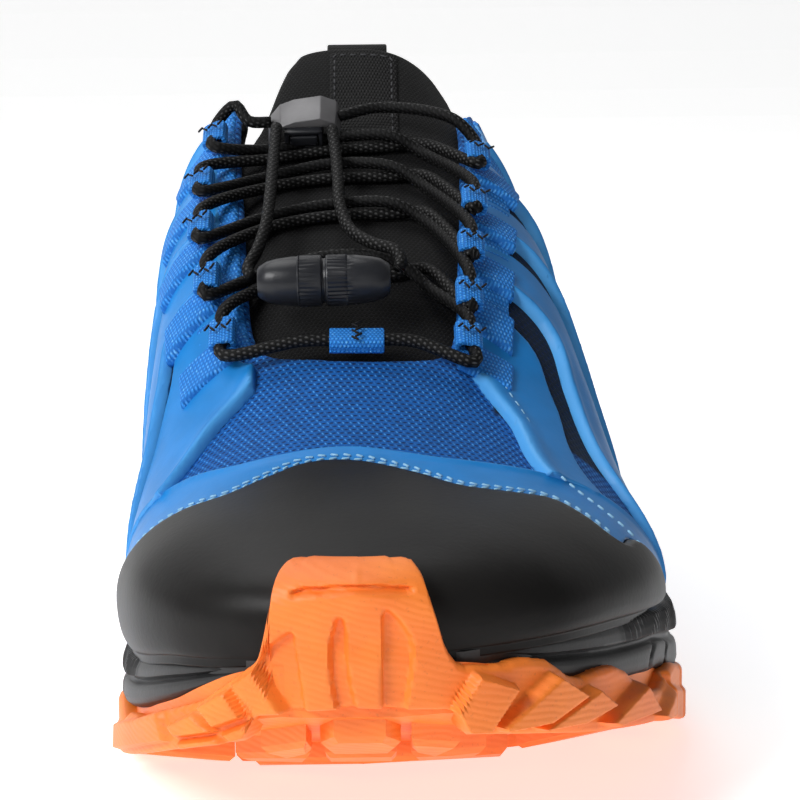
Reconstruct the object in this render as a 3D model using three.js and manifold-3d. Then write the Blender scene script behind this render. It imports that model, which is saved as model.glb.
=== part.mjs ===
// A low hiking shoe for the left foot: lugged outsole with a toe bumper, ribbed midsole,
// one hollow knit upper, toe cap, side cages, tongue, webbing loops and an elastic lace.
// Millimetres, +Z up. The toe points along -Y and the outer side of the foot is +X.
import * as THREE from 'three'
import { mergeVertices } from 'three/addons/utils/BufferGeometryUtils.js'
import Module from 'manifold-3d'

const wasm = await Module()
wasm.setup()

// Driving sizes of the sole
const SOLE_LENGTH = 300
const BALL_MEDIAL = 46.5
const BALL_LATERAL = 64.5
const TOE_SPRING = 27
const ARCH_LIFT = 6
const HEEL_BEVEL = 7
const RIM_HEIGHT = 40
const TREAD_HEIGHT = 10
const LUG_DEPTH = 5
const LUG_WIDTH = 17
const LUG_GAP = 5
const EDGE_BEVEL = 3
const RIB_DEPTH = 1
const RIB_WIDTH = 8
const BUMPER = 1.5

// Driving sizes of the upper
const INSTEP_HEIGHT = 118
const TOE_INSET = 5
const WALL = 2
const OVERLAY = 1.6
const LINING = 4.5
const TONGUE_THICKNESS = 5
const INSOLE_THICKNESS = 4
const HEEL_LEAN = 5

// Driving sizes of the lacing
const LACE_DIAMETER = 2.6
const LOOP_LENGTH = 7
const LOOP_THICKNESS = 1
const TOGGLE_LENGTH = 27
const TOGGLE_DIAMETER = 10.5
const LOCK_WIDTH = 17
const LOCK_HEIGHT = 8
const LOCK_DEPTH = 8
const PULL_WIDTH = 16

// Fits and limits of the drawing
const GAP = 0.3
const SEAT_GAP = 0.6
const REACH = 400
const SOLE_STATIONS = 28
const LAST_STATIONS = 25

// A table of sections: every column becomes a smooth function of the share of the length.
// Rows are spread like the angles of a half circle, so both ends of a form come out round.
const angleOf = (share) => Math.acos(1 - 2 * THREE.MathUtils.clamp(share, 0, 1)) / Math.PI

function table(names, rows) {
  const at = rows.map((row) => angleOf(row[0]))
  const columns = {}
  names.slice(1).forEach((name, index) => {
    const value = rows.map((row) => row[index + 1])
    const rise = value.slice(1).map((next, k) => (next - value[k]) / (at[k + 1] - at[k]))
    const slope = value.map((_, k) => {
      if (k === 0 || k === rise.length) return rise[Math.min(k, rise.length - 1)]
      return rise[k - 1] * rise[k] <= 0 ? 0 : 2 / (1 / rise[k - 1] + 1 / rise[k])
    })
    columns[name] = (share) => {
      const angle = angleOf(share)
      let k = 0
      while (k < rise.length - 1 && angle > at[k + 1]) k += 1
      const step = at[k + 1] - at[k]
      const t = (angle - at[k]) / step
      const placed = value[k] * (1 + 2 * t) * (1 - t) ** 2 + value[k + 1] * t * t * (3 - 2 * t)
      return placed + step * (slope[k] * t * (1 - t) ** 2 + slope[k + 1] * t * t * (t - 1))
    }
  })
  return columns
}

// Sole from toe to heel: half widths as shares of the ball's, then toe spring, arch lift,
// heel bevel, tread height and both rims as shares of their own sizes
const sole = table(
  ['along', 'medial', 'lateral', 'spring', 'arch', 'heel', 'tread', 'rimMedial', 'rimLateral'], [
    [0, 0, 0, 1, 0, 0, 1.35, 0.98, 0.99],
    [0.007, 0.29, 0.22, 0.95, 0, 0, 1.34, 0.97, 0.99],
    [0.02, 0.48, 0.37, 0.87, 0, 0, 1.3, 0.95, 0.99],
    [0.04, 0.64, 0.49, 0.75, 0, 0, 1.15, 0.91, 0.98],
    [0.067, 0.76, 0.6, 0.61, 0, 0, 1, 0.87, 0.96],
    [0.117, 0.89, 0.75, 0.39, 0, 0, 0.95, 0.77, 0.91],
    [0.167, 0.96, 0.86, 0.2, 0, 0, 1, 0.69, 0.85],
    [0.233, 1, 0.95, 0.03, 0, 0, 1.05, 0.63, 0.76],
    [0.26, 1, 0.98, 0, 0, 0, 1.05, 0.61, 0.72],
    [0.3, 0.98, 1, 0, 0, 0, 1.05, 0.6, 0.68],
    [0.345, 0.94, 1, 0, 0, 0, 1, 0.62, 0.66],
    [0.4, 0.89, 0.95, 0, 0, 0, 1, 0.66, 0.67],
    [0.47, 0.82, 0.83, 0, 0.75, 0, 1, 0.73, 0.71],
    [0.56, 0.78, 0.74, 0, 1, 0, 1, 0.8, 0.77],
    [0.64, 0.79, 0.69, 0, 0.4, 0, 1, 0.86, 0.83],
    [0.71, 0.82, 0.67, 0, 0, 0, 1, 0.9, 0.88],
    [0.8, 0.84, 0.655, 0, 0, 0, 1, 0.94, 0.93],
    [0.87, 0.82, 0.62, 0, 0, 0, 1.05, 0.98, 0.98],
    [0.92, 0.74, 0.555, 0, 0, 0.08, 1.1, 1, 1],
    [0.955, 0.6, 0.445, 0, 0, 0.4, 1.2, 1.02, 1.02],
    [0.985, 0.37, 0.275, 0, 0, 0.8, 1.25, 1.03, 1.03],
    [1, 0, 0, 0, 0, 1, 1.3, 1.04, 1.04],
  ])

// Upper from toe to heel: half widths as shares of the ball's, crest and belly heights as
// shares of the instep's, how boxy each side is, how far the base tucks in, crest offset
const last = table(
  ['along', 'medial', 'lateral', 'top', 'belly', 'boxyMedial', 'boxyLateral', 'tuck', 'crest'], [
    [0, 0, 0, 0.4, 0.36, 2.2, 2.2, 0.02, 0],
    [0.012, 0.33, 0.26, 0.42, 0.36, 2.3, 2.3, 0.03, 0],
    [0.03, 0.52, 0.41, 0.437, 0.355, 2.4, 2.4, 0.04, 0],
    [0.055, 0.67, 0.55, 0.452, 0.35, 2.4, 2.4, 0.05, -0.02],
    [0.105, 0.83, 0.71, 0.478, 0.34, 2.3, 2.2, 0.06, -0.05],
    [0.155, 0.91, 0.82, 0.497, 0.32, 2.15, 2.1, 0.06, -0.07],
    [0.2, 0.955, 0.88, 0.513, 0.3, 2.05, 2, 0.06, -0.07],
    [0.245, 0.975, 0.905, 0.55, 0.285, 2, 1.9, 0.06, -0.06],
    [0.285, 0.975, 0.9, 0.594, 0.28, 2.1, 1.9, 0.06, -0.04],
    [0.33, 0.955, 0.87, 0.652, 0.29, 2.5, 2, 0.07, -0.02],
    [0.395, 0.94, 0.79, 0.757, 0.35, 3.3, 2.5, 0.12, 0],
    [0.465, 0.93, 0.72, 0.84, 0.41, 4, 3.1, 0.17, 0],
    [0.53, 0.93, 0.67, 0.905, 0.45, 4.2, 3.5, 0.18, 0],
    [0.6, 0.9, 0.61, 1, 0.46, 4, 3.1, 0.15, 0],
    [0.685, 0.83, 0.57, 1.14, 0.44, 3.2, 2.5, 0.09, 0],
    [0.79, 0.8, 0.56, 1.25, 0.44, 2.3, 2.1, 0.06, 0],
    [0.88, 0.75, 0.53, 1.25, 0.44, 2.1, 2.1, 0.05, 0],
    [0.94, 0.6, 0.43, 1.25, 0.44, 2.1, 2.1, 0.04, 0],
    [0.98, 0.37, 0.27, 1.25, 0.44, 2.2, 2.2, 0.03, 0],
    [1, 0, 0, 1.25, 0.44, 2.2, 2.2, 0.02, 0],
  ])

// The sole bends up at the toe. Its edges leave the ground later than its middle (side 0),
// and the outer edge later than the inner one.
const FLEX_LAG = { '-1': 0.035, 0: 0, 1: 0.088 }
const FLEX_RAMP = 0.2
const ground = (share, side) =>
  sole.spring(share - FLEX_LAG[side] * Math.min(1, share / FLEX_RAMP)) * TOE_SPRING
    + sole.arch(share) * ARCH_LIFT + sole.heel(share) * HEEL_BEVEL
const treadTop = (share, side) => ground(share, side) + sole.tread(share) * TREAD_HEIGHT
const rim = (share, side) =>
  RIM_HEIGHT * (side < 0 ? sole.rimMedial(share) : sole.rimLateral(share))
const soleHalf = (share, side) =>
  side < 0 ? BALL_MEDIAL * sole.medial(share) : BALL_LATERAL * sole.lateral(share)
const shareAt = (y) => THREE.MathUtils.clamp(y / SOLE_LENGTH, 0, 1)

// Height of the sole's rim under a place seen from above
function seat(x, y) {
  const share = shareAt(y)
  const across = Math.max(1, soleHalf(share, -1) + soleHalf(share, 1))
  const blend = THREE.MathUtils.clamp((x + soleHalf(share, -1)) / across, 0, 1)
  return THREE.MathUtils.lerp(rim(share, -1), rim(share, 1), blend)
}

// A closed solid through rings that each run up one side and down the other,
// with both ends laced shut from side to side
function skin(rings) {
  const count = rings[0].length
  const corners = rings.flat()
  const faces = []
  const end = (rings.length - 1) * count
  for (let k = 0; k < count; k += 1) {
    const next = (k + 1) % count
    for (let row = 0; row < end; row += count) {
      faces.push(row + next, row + k, row + k + count, row + next, row + k + count, row + next + count)
    }
  }
  for (let k = 0, across = count - 1; k + 1 < across; k += 1, across -= 1) {
    faces.push(k, k + 1, across, end + k + 1, end + k, end + across)
    if (k + 1 < across - 1) {
      faces.push(k + 1, across - 1, across, end + across - 1, end + k + 1, end + across)
    }
  }
  return new wasm.Manifold(new wasm.Mesh({
    numProp: 3,
    vertProperties: new Float32Array(corners.flat()),
    triVerts: new Uint32Array(faces),
  }))
}

// Stations are closer together at both round ends
const END_ANGLE = 0.012
const stations = (count) => Array.from({ length: count + 1 }, (_, k) => {
  const angle = END_ANGLE + (1 - 2 * END_ANGLE) * (k / count)
  return (1 - Math.cos(Math.PI * angle)) / 2
})

// Closed geometry becomes a solid once its corners are merged
function solidOf(geometry) {
  const bare = geometry.clone()
  bare.deleteAttribute('normal')
  bare.deleteAttribute('uv')
  const merged = mergeVertices(bare, 1e-4)
  return new wasm.Manifold(new wasm.Mesh({
    numProp: 3,
    vertProperties: new Float32Array(merged.attributes.position.array),
    triVerts: new Uint32Array(merged.index.array),
  }))
}

// Cutters: an outline drawn in plan or from the side, run through the whole shoe
function prism(points, from, to) {
  const shape = new THREE.Shape(points.map(([a, b]) => new THREE.Vector2(a, b)))
  const geometry = new THREE.ExtrudeGeometry(shape, { depth: to - from, bevelEnabled: false, steps: 1 })
  return geometry.translate(0, 0, from)
}
const planCut = (points, from = -REACH, to = REACH) => solidOf(prism(points, from, to))
const TO_SIDE = new THREE.Matrix4().makeBasis(
  new THREE.Vector3(0, 1, 0), new THREE.Vector3(0, 0, 1), new THREE.Vector3(1, 0, 0))
const sideCut = (points, from = -REACH, to = REACH) =>
  solidOf(prism(points, from, to).applyMatrix4(TO_SIDE))
const smooth = (points, count) => new THREE.SplineCurve(
  points.map(([a, b]) => new THREE.Vector2(a, b))).getPoints(count).map((p) => [p.x, p.y])
const scaled = (points, a, b) => points.map(([u, v]) => [u * a, v * b])

const parts = new THREE.Group()

function place(name, solid, colour, roughness, metalness = 0) {
  const mesh = solid.getMesh()
  const geometry = new THREE.BufferGeometry()
  geometry.setAttribute('position', new THREE.BufferAttribute(mesh.vertProperties, 3))
  geometry.setIndex(new THREE.BufferAttribute(mesh.triVerts, 1))
  geometry.computeVertexNormals()
  const part = new THREE.Mesh(geometry, new THREE.MeshStandardMaterial({
    color: colour, roughness, metalness,
  }))
  part.name = name
  parts.add(part)
}

// Outsole: a curved plate, and lugs that are cut off at the ground
const MIDDLE = 0.4
function treadForm(lift, rise = 0) {
  return skin(stations(SOLE_STATIONS).map((share) => {
    const y = share * SOLE_LENGTH
    const side = (sign) => {
      const half = soleHalf(share, sign)
      const bevel = Math.min(EDGE_BEVEL, half / 3)
      const low = ground(share, sign) + lift
      return [[half * MIDDLE, ground(share, 0) + lift], [half - bevel, low], [half, low + bevel / 2],
        [half - bevel / 3, treadTop(share, sign) + rise]]
        .map(([x, z]) => [sign * x, y, z])
    }
    return [...side(1), ...side(-1).reverse()]
  }))
}

// Lugs along both edges slant back, and chevrons fill the middle
const EDGE_LUGS = { from: 0.1, to: 0.93, pitch: 0.062, slant: 0.018 }
const CHEVRONS = { from: 0.12, to: 0.9, pitch: 0.075, arm: 0.024, half: 0.36 }
const TOE_LUGS = { spread: [-58, -20, 20, 58], centre: 0.115, depth: 0.062, half: 13 }

function lugOutlines() {
  const outlines = []
  const width = (LUG_GAP / SOLE_LENGTH)
  for (let at = EDGE_LUGS.from; at < EDGE_LUGS.to; at += EDGE_LUGS.pitch) {
    for (const side of [-1, 1]) {
      const to = at + EDGE_LUGS.pitch - width
      const inner = (share) => side * Math.max(8, soleHalf(share, side) - LUG_WIDTH)
      const outer = side * 2 * BALL_LATERAL
      outlines.push([
        [inner(at), (at + EDGE_LUGS.slant) * SOLE_LENGTH], [outer, at * SOLE_LENGTH],
        [outer, to * SOLE_LENGTH], [inner(to), (to + EDGE_LUGS.slant) * SOLE_LENGTH],
      ])
    }
  }
  for (let at = CHEVRONS.from; at < CHEVRONS.to; at += CHEVRONS.pitch) {
    const reach = (side) => side * Math.max(4, soleHalf(at, side) - LUG_WIDTH - LUG_GAP)
    const [left, right, arm] = [reach(-1), reach(1), CHEVRONS.arm * SOLE_LENGTH]
    const y = at * SOLE_LENGTH
    outlines.push([[left, y], [0, y - arm], [right, y], [right, y + arm], [0, y], [left, y + arm]])
  }
  for (const degrees of TOE_LUGS.spread) {
    const turn = THREE.MathUtils.degToRad(degrees)
    const out = new THREE.Vector2(Math.sin(turn), -Math.cos(turn))
    const wide = new THREE.Vector2(Math.cos(turn), Math.sin(turn))
    const hub = new THREE.Vector2(0, TOE_LUGS.centre * SOLE_LENGTH)
    const corner = (along, across) => {
      const p = hub.clone().addScaledVector(out, along * SOLE_LENGTH)
        .addScaledVector(wide, across * (along > TOE_LUGS.centre ? 1 : along / TOE_LUGS.centre))
      return [p.x, p.y]
    }
    const near = TOE_LUGS.centre - TOE_LUGS.depth
    const far = TOE_LUGS.centre * 2
    outlines.push([
      corner(near, -TOE_LUGS.half), corner(far, -TOE_LUGS.half),
      corner(far, TOE_LUGS.half), corner(near, TOE_LUGS.half),
    ])
  }
  return outlines
}

const wound = (outline) => {
  const area = outline.reduce((sum, [x, y], k) => {
    const [nextX, nextY] = outline[(k + 1) % outline.length]
    return sum + x * nextY - nextX * y
  }, 0)
  return area < 0 ? [...outline].reverse() : outline
}

const lugs = lugOutlines().map((outline) => planCut(wound(outline)))
  .reduce((all, lug) => all.add(lug))
const tread = treadForm(LUG_DEPTH).add(treadForm(0).intersect(lugs))

// Midsole: the side wall bulges below, steps in at a groove and leans in to the rim
const midsoleSide = [[0, 1.2], [0.2, -0.3], [0.42, 0], [0.48, 1.5], [0.55, 1.5], [0.6, 0.7], [0.93, 1.8],
  [1, 3]]
const MIDSOLE_START = 4

function midsoleForm(grow) {
  const reach = SOLE_LENGTH - 1.5 * MIDSOLE_START + 2 * grow
  return skin(stations(SOLE_STATIONS).map((share) => {
    const y = MIDSOLE_START - grow + share * reach
    const side = (sign) => {
      const low = treadTop(shareAt(y), sign) + GAP - grow
      const high = rim(shareAt(y), sign) + grow
      const half = soleHalf(share, sign) * (1 - MIDSOLE_START / SOLE_LENGTH)
      return midsoleSide.map(([up, inset]) => [
        sign * (half + (grow - inset) * Math.min(1, half / TIP_ROUND)), y, low + (high - low) * up])
    }
    return [...side(1), ...side(-1).reverse()]
  }))
}

// The last, ring by ring: grow moves its surface outwards and sink carries the base down
const LOWER_STEPS = 3
const UPPER_STEPS = 6
const LEAN_FROM = 0.72
const BULGE_HEIGHT = 60
const HEEL_INSET = 4
const TIP_ROUND = 14

function lastRing(share, grow, sink) {
  const y = TOE_INSET - grow + share * (SOLE_LENGTH - TOE_INSET - HEEL_INSET + 2 * grow)
  const crest = last.crest(share) * BALL_MEDIAL
  const top = last.top(share) * INSTEP_HEIGHT + grow
  const quarter = (steps) => Array.from({ length: steps + 1 }, (_, k) => (k / steps) * Math.PI / 2)
  const side = (sign) => {
    const own = sign < 0 ? last.medial(share) * BALL_MEDIAL : last.lateral(share) * BALL_LATERAL
    const half = own + grow * Math.min(1, own / TIP_ROUND)
    const power = 2 / (sign < 0 ? last.boxyMedial(share) : last.boxyLateral(share))
    const base = half - own * last.tuck(share)
    const low = seat(sign * own, y) + SEAT_GAP
    const belly = Math.max(low + 2, last.belly(share) * INSTEP_HEIGHT)
    const lower = quarter(LOWER_STEPS).map((a) => [
      sign * (base + (half - base) * Math.sin(a)), belly - (belly - low) * Math.cos(a)])
    const upper = quarter(UPPER_STEPS).slice(1).map((a) => [
      crest + (sign * half - crest) * Math.cos(a) ** power,
      belly + (top - belly) * Math.sin(a) ** power])
    return sink > 0 ? [[sign * base, low - sink], ...lower, ...upper] : [...lower, ...upper]
  }
  const lean = THREE.MathUtils.smoothstep(share, LEAN_FROM, 1) * HEEL_LEAN
  return [...side(1), ...side(-1).slice(0, -1).reverse()].map(([x, z]) => [
    x, y - lean * ((z - BULGE_HEIGHT) / (INSTEP_HEIGHT - BULGE_HEIGHT)) ** 2, z])
}

const lastForm = (grow, sink = 0) =>
  skin(stations(LAST_STATIONS).map((share) => lastRing(share, grow, sink)))

// Height of the last's roof at a place seen from above
function roof(x, y, grow) {
  const share = (y - TOE_INSET + grow) / (SOLE_LENGTH - TOE_INSET - HEEL_INSET + 2 * grow)
  const ring = lastRing(THREE.MathUtils.clamp(share, END_ANGLE, 1 - END_ANGLE), grow, 0)
  const over = ring.slice(LOWER_STEPS, ring.length - LOWER_STEPS)
  const k = over.findIndex((p, index) => index > 0 && x <= over[index - 1][0] && x >= p[0])
  if (k < 1) return over.at(x > 0 ? 0 : -1)[2]
  const [a, b] = [over[k - 1], over[k]]
  return b[2] + (a[2] - b[2]) * (x - b[0]) / Math.max(1e-6, a[0] - b[0])
}

// Edges drawn on the last, in shares of the sole's length, the ball and the instep height.
// Collar line from the side, facing edges and throat in plan
const collarLine = smooth(scaled([[0.63, 0.95], [0.672, 0.985], [0.7, 0.955], [0.74, 0.85], [0.79, 0.765],
  [0.85, 0.775], [0.91, 0.86], [0.955, 0.91], [1.02, 0.92]], SOLE_LENGTH, INSTEP_HEIGHT), 26)
const throatEdge = [
  [-0.1, 0.325], [-0.36, 0.335], [-0.47, 0.36], [-0.51, 0.42], [-0.545, 0.5], [-0.585, 0.6],
  [-0.56, 0.66], [-0.53, 0.72], [0.47, 0.72], [0.5, 0.66], [0.52, 0.6], [0.5, 0.5], [0.47, 0.42],
  [0.44, 0.36], [0.35, 0.335], [0.1, 0.325]]
const throatCut = (grow) => planCut(wound(scaled(throatEdge, BALL_MEDIAL, SOLE_LENGTH)
  .map(([x, y]) => [x + Math.sign(x) * grow, y - (y < SOLE_LENGTH / 3 ? grow : 0)])), RIM_HEIGHT)
const throat = throatCut(0)
const aboveCollar = sideCut([...collarLine, [1.1 * SOLE_LENGTH, REACH / 2], [0.63 * SOLE_LENGTH, REACH / 2]])

// Upper: one wall, open at the collar and throat and open underneath
const outer = lastForm(0)
const cavity = lastForm(-WALL, RIM_HEIGHT)
place('upper', outer.subtract(cavity).subtract(throat).subtract(aboveCollar), 0x1e62b8, 0.85)

// Tongue: a padded sheet that follows the last inside the throat and stands above it
const TONGUE_LIFT = GAP + 0.2
const tongueEdge = [
  [-0.4, 0.285], [-0.52, 0.33], [-0.6, 0.45], [-0.6, 0.56], [-0.48, 0.61], [-0.4, 0.65], [-0.34, 0.67],
  [-0.22, 0.683], [0.3, 0.683], [0.46, 0.67], [0.52, 0.65], [0.55, 0.61], [0.57, 0.56], [0.56, 0.45],
  [0.48, 0.33], [0.36, 0.285]]
const tongueCut = planCut(wound(scaled(tongueEdge, BALL_MEDIAL, SOLE_LENGTH)), RIM_HEIGHT * 1.2)
const tongueRoof = lastForm(-WALL - TONGUE_LIFT)
const tongueFloor = lastForm(-WALL - TONGUE_LIFT - TONGUE_THICKNESS, RIM_HEIGHT)
place('tongue', tongueRoof.subtract(tongueFloor).intersect(tongueCut), 0x17181b, 0.9)

// Insole: the inside of the last's base, a named clearance smaller
const INSOLE_CLEARANCE = 1
function insoleForm() {
  const grow = -WALL - INSOLE_CLEARANCE
  return skin(stations(LAST_STATIONS).map((share) => {
    const ring = lastRing(share, grow, 0)
    const [right, left] = [ring[0], ring.at(-1)]
    const level = (p, lift) => [p[0], p[1], seat(p[0], p[1]) + 2 * SEAT_GAP + lift]
    return [level(right, 0), level(right, INSOLE_THICKNESS), level(left, INSOLE_THICKNESS), level(left, 0)]
  }))
}
place('insole', insoleForm(), 0x2a2d31, 0.95)

// Ribs stand on the upper band of the midsole's side, a row along each edge
const RIBS = { from: 0.2, to: 0.82, pitch: 0.055, low: 0.62, high: 0.86 }
function ribsForm() {
  const ribs = []
  for (let at = RIBS.from; at < RIBS.to; at += RIBS.pitch) {
    for (const side of [-1, 1]) {
      const end = at + RIB_WIDTH / SOLE_LENGTH
      const level = (share, up) => THREE.MathUtils.lerp(treadTop(share, side), rim(share, side), up)
      const outline = [[at, RIBS.low], [end, RIBS.low], [end, RIBS.high], [at, RIBS.high]]
        .map(([share, up]) => [share * SOLE_LENGTH, level(share, up)])
      ribs.push(sideCut(outline, Math.min(0, side * REACH), Math.max(0, side * REACH)))
    }
  }
  return midsoleForm(RIB_DEPTH).intersect(ribs.reduce((all, rib) => all.add(rib)))
}
place('midsole', midsoleForm(0).add(ribsForm()).subtract(treadForm(0, GAP)), 0x2b2b2b, 0.7)

// Toe bumper: the outsole's rubber runs up over the toe in a trapezoid
const noseTop = table(['along', 'height'], [
  [0, 0.37], [0.007, 0.415], [0.02, 0.437], [0.045, 0.466], [0.1, 0.5], [1, 0.6]])
const BUMPER_SHARES = [0.0004, 0.002, 0.005, 0.01, 0.018, 0.028, 0.04, 0.055]
function noseForm() {
  return skin(BUMPER_SHARES.map((share) => {
    const y = share * SOLE_LENGTH - BUMPER
    const top = noseTop.height(share) * INSTEP_HEIGHT
    const side = (sign) => {
      const half = soleHalf(share, sign) + BUMPER * Math.min(1, soleHalf(share, sign) / TIP_ROUND)
      const low = ground(share, sign) + 1
      return [[1, 0], [1, 0.6], [0.96, 0.85], [0.85, 1]].map(([out, up]) => [
        sign * half * out, y, low + (top - low) * up])
    }
    return [...side(1), ...side(-1).reverse()]
  }))
}
const bumperFront = [[-0.4, 0.62], [-0.37, 0.92], [-0.28, 1.29], [-0.22, 1.37], [0.22, 1.37], [0.27, 1.29],
  [0.36, 0.92], [0.4, 0.62]]
const TO_FRONT = new THREE.Matrix4().makeBasis(
  new THREE.Vector3(1, 0, 0), new THREE.Vector3(0, 0, 1), new THREE.Vector3(0, -1, 0))
const frontCut = (points, from, to) => solidOf(prism(points, -to, -from).applyMatrix4(TO_FRONT))
const bumper = noseForm()
  .intersect(frontCut(wound(scaled(bumperFront, BALL_MEDIAL, RIM_HEIGHT)), -BUMPER * 4, SOLE_LENGTH * 0.042))
  .subtract(lastForm(OVERLAY + 2 * GAP, 4))
  .subtract(midsoleForm(GAP))
place('outsole', tread.add(bumper), 0xe8703a, 0.6)

// Overlays are cut between two forms that are larger than the upper
const shell = (from, to) => lastForm(to).subtract(lastForm(from, RIM_HEIGHT))
const acrossBall = (points) => points.map(([x, y]) => [
  x * (x < 0 ? BALL_MEDIAL : BALL_LATERAL), y * SOLE_LENGTH])
const capLine = smooth(acrossBall([[-1.5, 0.24], [-1.05, 0.215], [-0.93, 0.198], [-0.84, 0.187], [-0.67, 0.178],
  [-0.51, 0.172], [-0.36, 0.187], [-0.24, 0.202], [-0.12, 0.207], [0.03, 0.204], [0.18, 0.187], [0.29, 0.173],
  [0.42, 0.177], [0.55, 0.187], [0.64, 0.176], [0.7, 0.166], [0.75, 0.172], [0.8, 0.2], [0.95, 0.21],
  [1.4, 0.2]]), 36)
const aheadOf = (line, shift) => planCut(wound([
  ...line.map(([x, y]) => [x, y + shift]), [2 * BALL_LATERAL, -SOLE_LENGTH], [-2 * BALL_LATERAL, -SOLE_LENGTH]]))
const TRIM_WIDTH = 2.8
place('toe_cap', shell(GAP, GAP + OVERLAY).intersect(aheadOf(capLine, 0)), 0x2d2b2a, 0.55)
place('toe_trim', shell(GAP, GAP + OVERLAY * 0.6)
  .intersect(aheadOf(capLine, GAP + TRIM_WIDTH)).subtract(aheadOf(capLine, GAP)), 0x46aaf0, 0.4)

// Side cages: slanted bands between the facing and a rand along the sole
const BAND_LEVELS = [1.15, 0.72, 0.55, 0.4, 0.1]
const bands = {
  medial: [
    [0.345, 0.385, 0.345, 0.39, 0.292, 0.345, 0.24, 0.3, 0.22, 0.28],
    [0.41, 0.45, 0.402, 0.445, 0.36, 0.41, 0.32, 0.385, 0.3, 0.37],
    [0.465, 0.505, 0.46, 0.51, 0.425, 0.485, 0.4, 0.475, 0.39, 0.48],
    [0.525, 0.57, 0.525, 0.585, 0.5, 0.575, 0.49, 0.58, 0.5, 0.6],
    [0.59, 0.64, 0.605, 0.67, 0.595, 0.68, 0.6, 0.7, 0.62, 0.73],
  ],
  lateral: [
    [0.365, 0.395, 0.355, 0.385, 0.297, 0.34, 0.19, 0.24, 0.15, 0.2],
    [0.42, 0.455, 0.405, 0.445, 0.355, 0.4, 0.285, 0.35, 0.25, 0.31],
    [0.47, 0.51, 0.46, 0.505, 0.42, 0.475, 0.375, 0.45, 0.35, 0.43],
    [0.53, 0.575, 0.525, 0.585, 0.495, 0.57, 0.475, 0.57, 0.47, 0.58],
    [0.59, 0.64, 0.605, 0.67, 0.59, 0.68, 0.6, 0.7, 0.61, 0.72],
  ],
}
const RAND_HEIGHT = 9
const COUNTER_FROM = 0.77
const EYESTAY_WIDTH = 9
const RAND_FROM = 0.19
const CAGE_INNER = 18.5
const randEdge = (side) => stations(SOLE_STATIONS / 2).filter((share) => share > RAND_FROM)
  .map((share) => [share * SOLE_LENGTH, rim(share, side) + RAND_HEIGHT])

function cage(sideName, side) {
  const half = (cut) => cut.intersect(planCut(wound([[side * CAGE_INNER, 0], [side * REACH, 0],
    [side * REACH, SOLE_LENGTH], [side * CAGE_INNER, SOLE_LENGTH]])))
  const strips = bands[sideName].map((band) => {
    const edge = (offset) => smooth(BAND_LEVELS.map((level, k) => [
      band[2 * k + offset] * SOLE_LENGTH, level * INSTEP_HEIGHT]), 12)
    return sideCut(wound([...edge(0), ...edge(1).reverse()]))
  })
  const rand = sideCut(wound([...randEdge(side), [SOLE_LENGTH, 0], [RAND_FROM * SOLE_LENGTH, 0]]))
  const eyestay = throatCut(EYESTAY_WIDTH).subtract(throatCut(0.6))
    .intersect(planCut(wound([[-REACH, 0.35 * SOLE_LENGTH], [REACH, 0.35 * SOLE_LENGTH],
      [REACH, 0.65 * SOLE_LENGTH], [-REACH, 0.65 * SOLE_LENGTH]])))
  const region = [...strips, rand].reduce((all, strip) => all.add(strip), eyestay).subtract(throatCut(0.6))
  const counterCut = sideCut(wound([[COUNTER_FROM * SOLE_LENGTH - GAP, -REACH],
    [2 * SOLE_LENGTH, -REACH], [2 * SOLE_LENGTH, REACH], [COUNTER_FROM * SOLE_LENGTH - GAP, REACH]]))
  return half(shell(GAP, GAP + OVERLAY)).intersect(region)
    .subtract(aheadOf(capLine, TRIM_WIDTH + 3 * GAP)).subtract(counterCut).subtract(aboveCollar)
}
place('cage_medial', cage('medial', -1), 0x46aaf0, 0.4)
place('cage_lateral', cage('lateral', 1), 0x46aaf0, 0.4)
const counterLine = smooth(scaled([[0.77, 0.42], [0.8, 0.5], [0.85, 0.58], [0.92, 0.68], [1.05, 0.74]],
  SOLE_LENGTH, INSTEP_HEIGHT), 10)
place('heel_counter', shell(GAP, GAP + OVERLAY).intersect(sideCut(wound([
  ...counterLine, [1.05 * SOLE_LENGTH, 0], [0.77 * SOLE_LENGTH, 0]]))), 0x2c74c4, 0.5)

// Collar lining: a padded ring inside the collar, a little higher than the upper's edge
const LINING_DROP = 30
const LINING_RISE = 2.5
const collarBand = sideCut(wound([...collarLine.map(([y, z]) => [y, z + LINING_RISE]),
  ...collarLine.map(([y, z]) => [y, z - LINING_DROP]).reverse()]))
place('collar_lining', shell(-WALL - GAP - LINING, -WALL - GAP).intersect(collarBand)
  .subtract(throatCut(GAP * 4)).intersect(sideCut(wound([[0.657 * SOLE_LENGTH, 0], [REACH, 0], [REACH, REACH],
    [0.657 * SOLE_LENGTH, REACH]]))), 0x141517, 0.95)

// A smooth patch lies on the tongue
const LABEL = { left: -0.13, right: 0.21, front: 0.565, back: 0.672, thickness: 0.6 }
const labelFloor = -WALL - TONGUE_LIFT + GAP
place('tongue_label', shell(labelFloor, labelFloor + LABEL.thickness).intersect(planCut(scaled([
  [LABEL.left, LABEL.front], [LABEL.right, LABEL.front], [LABEL.right, LABEL.back], [LABEL.left, LABEL.back]],
  BALL_MEDIAL, SOLE_LENGTH), RIM_HEIGHT * 1.2)), 0x1b1c1f, 0.6)

// A frame on the last: X across the foot, Y up the foot, Z out of the surface
function frameOn(x, y, grow, lift) {
  const step = 2
  const along = new THREE.Vector3(0, 2 * step, roof(x, y + step, grow) - roof(x, y - step, grow)).normalize()
  const across = new THREE.Vector3(2 * step, 0, roof(x + step, y, grow) - roof(x - step, y, grow))
  const out = across.cross(along).normalize()
  const origin = new THREE.Vector3(x, y, roof(x, y, grow)).addScaledVector(out, lift)
  return new THREE.Matrix4().makeBasis(along.clone().cross(out), along, out).setPosition(origin)
}

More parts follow.
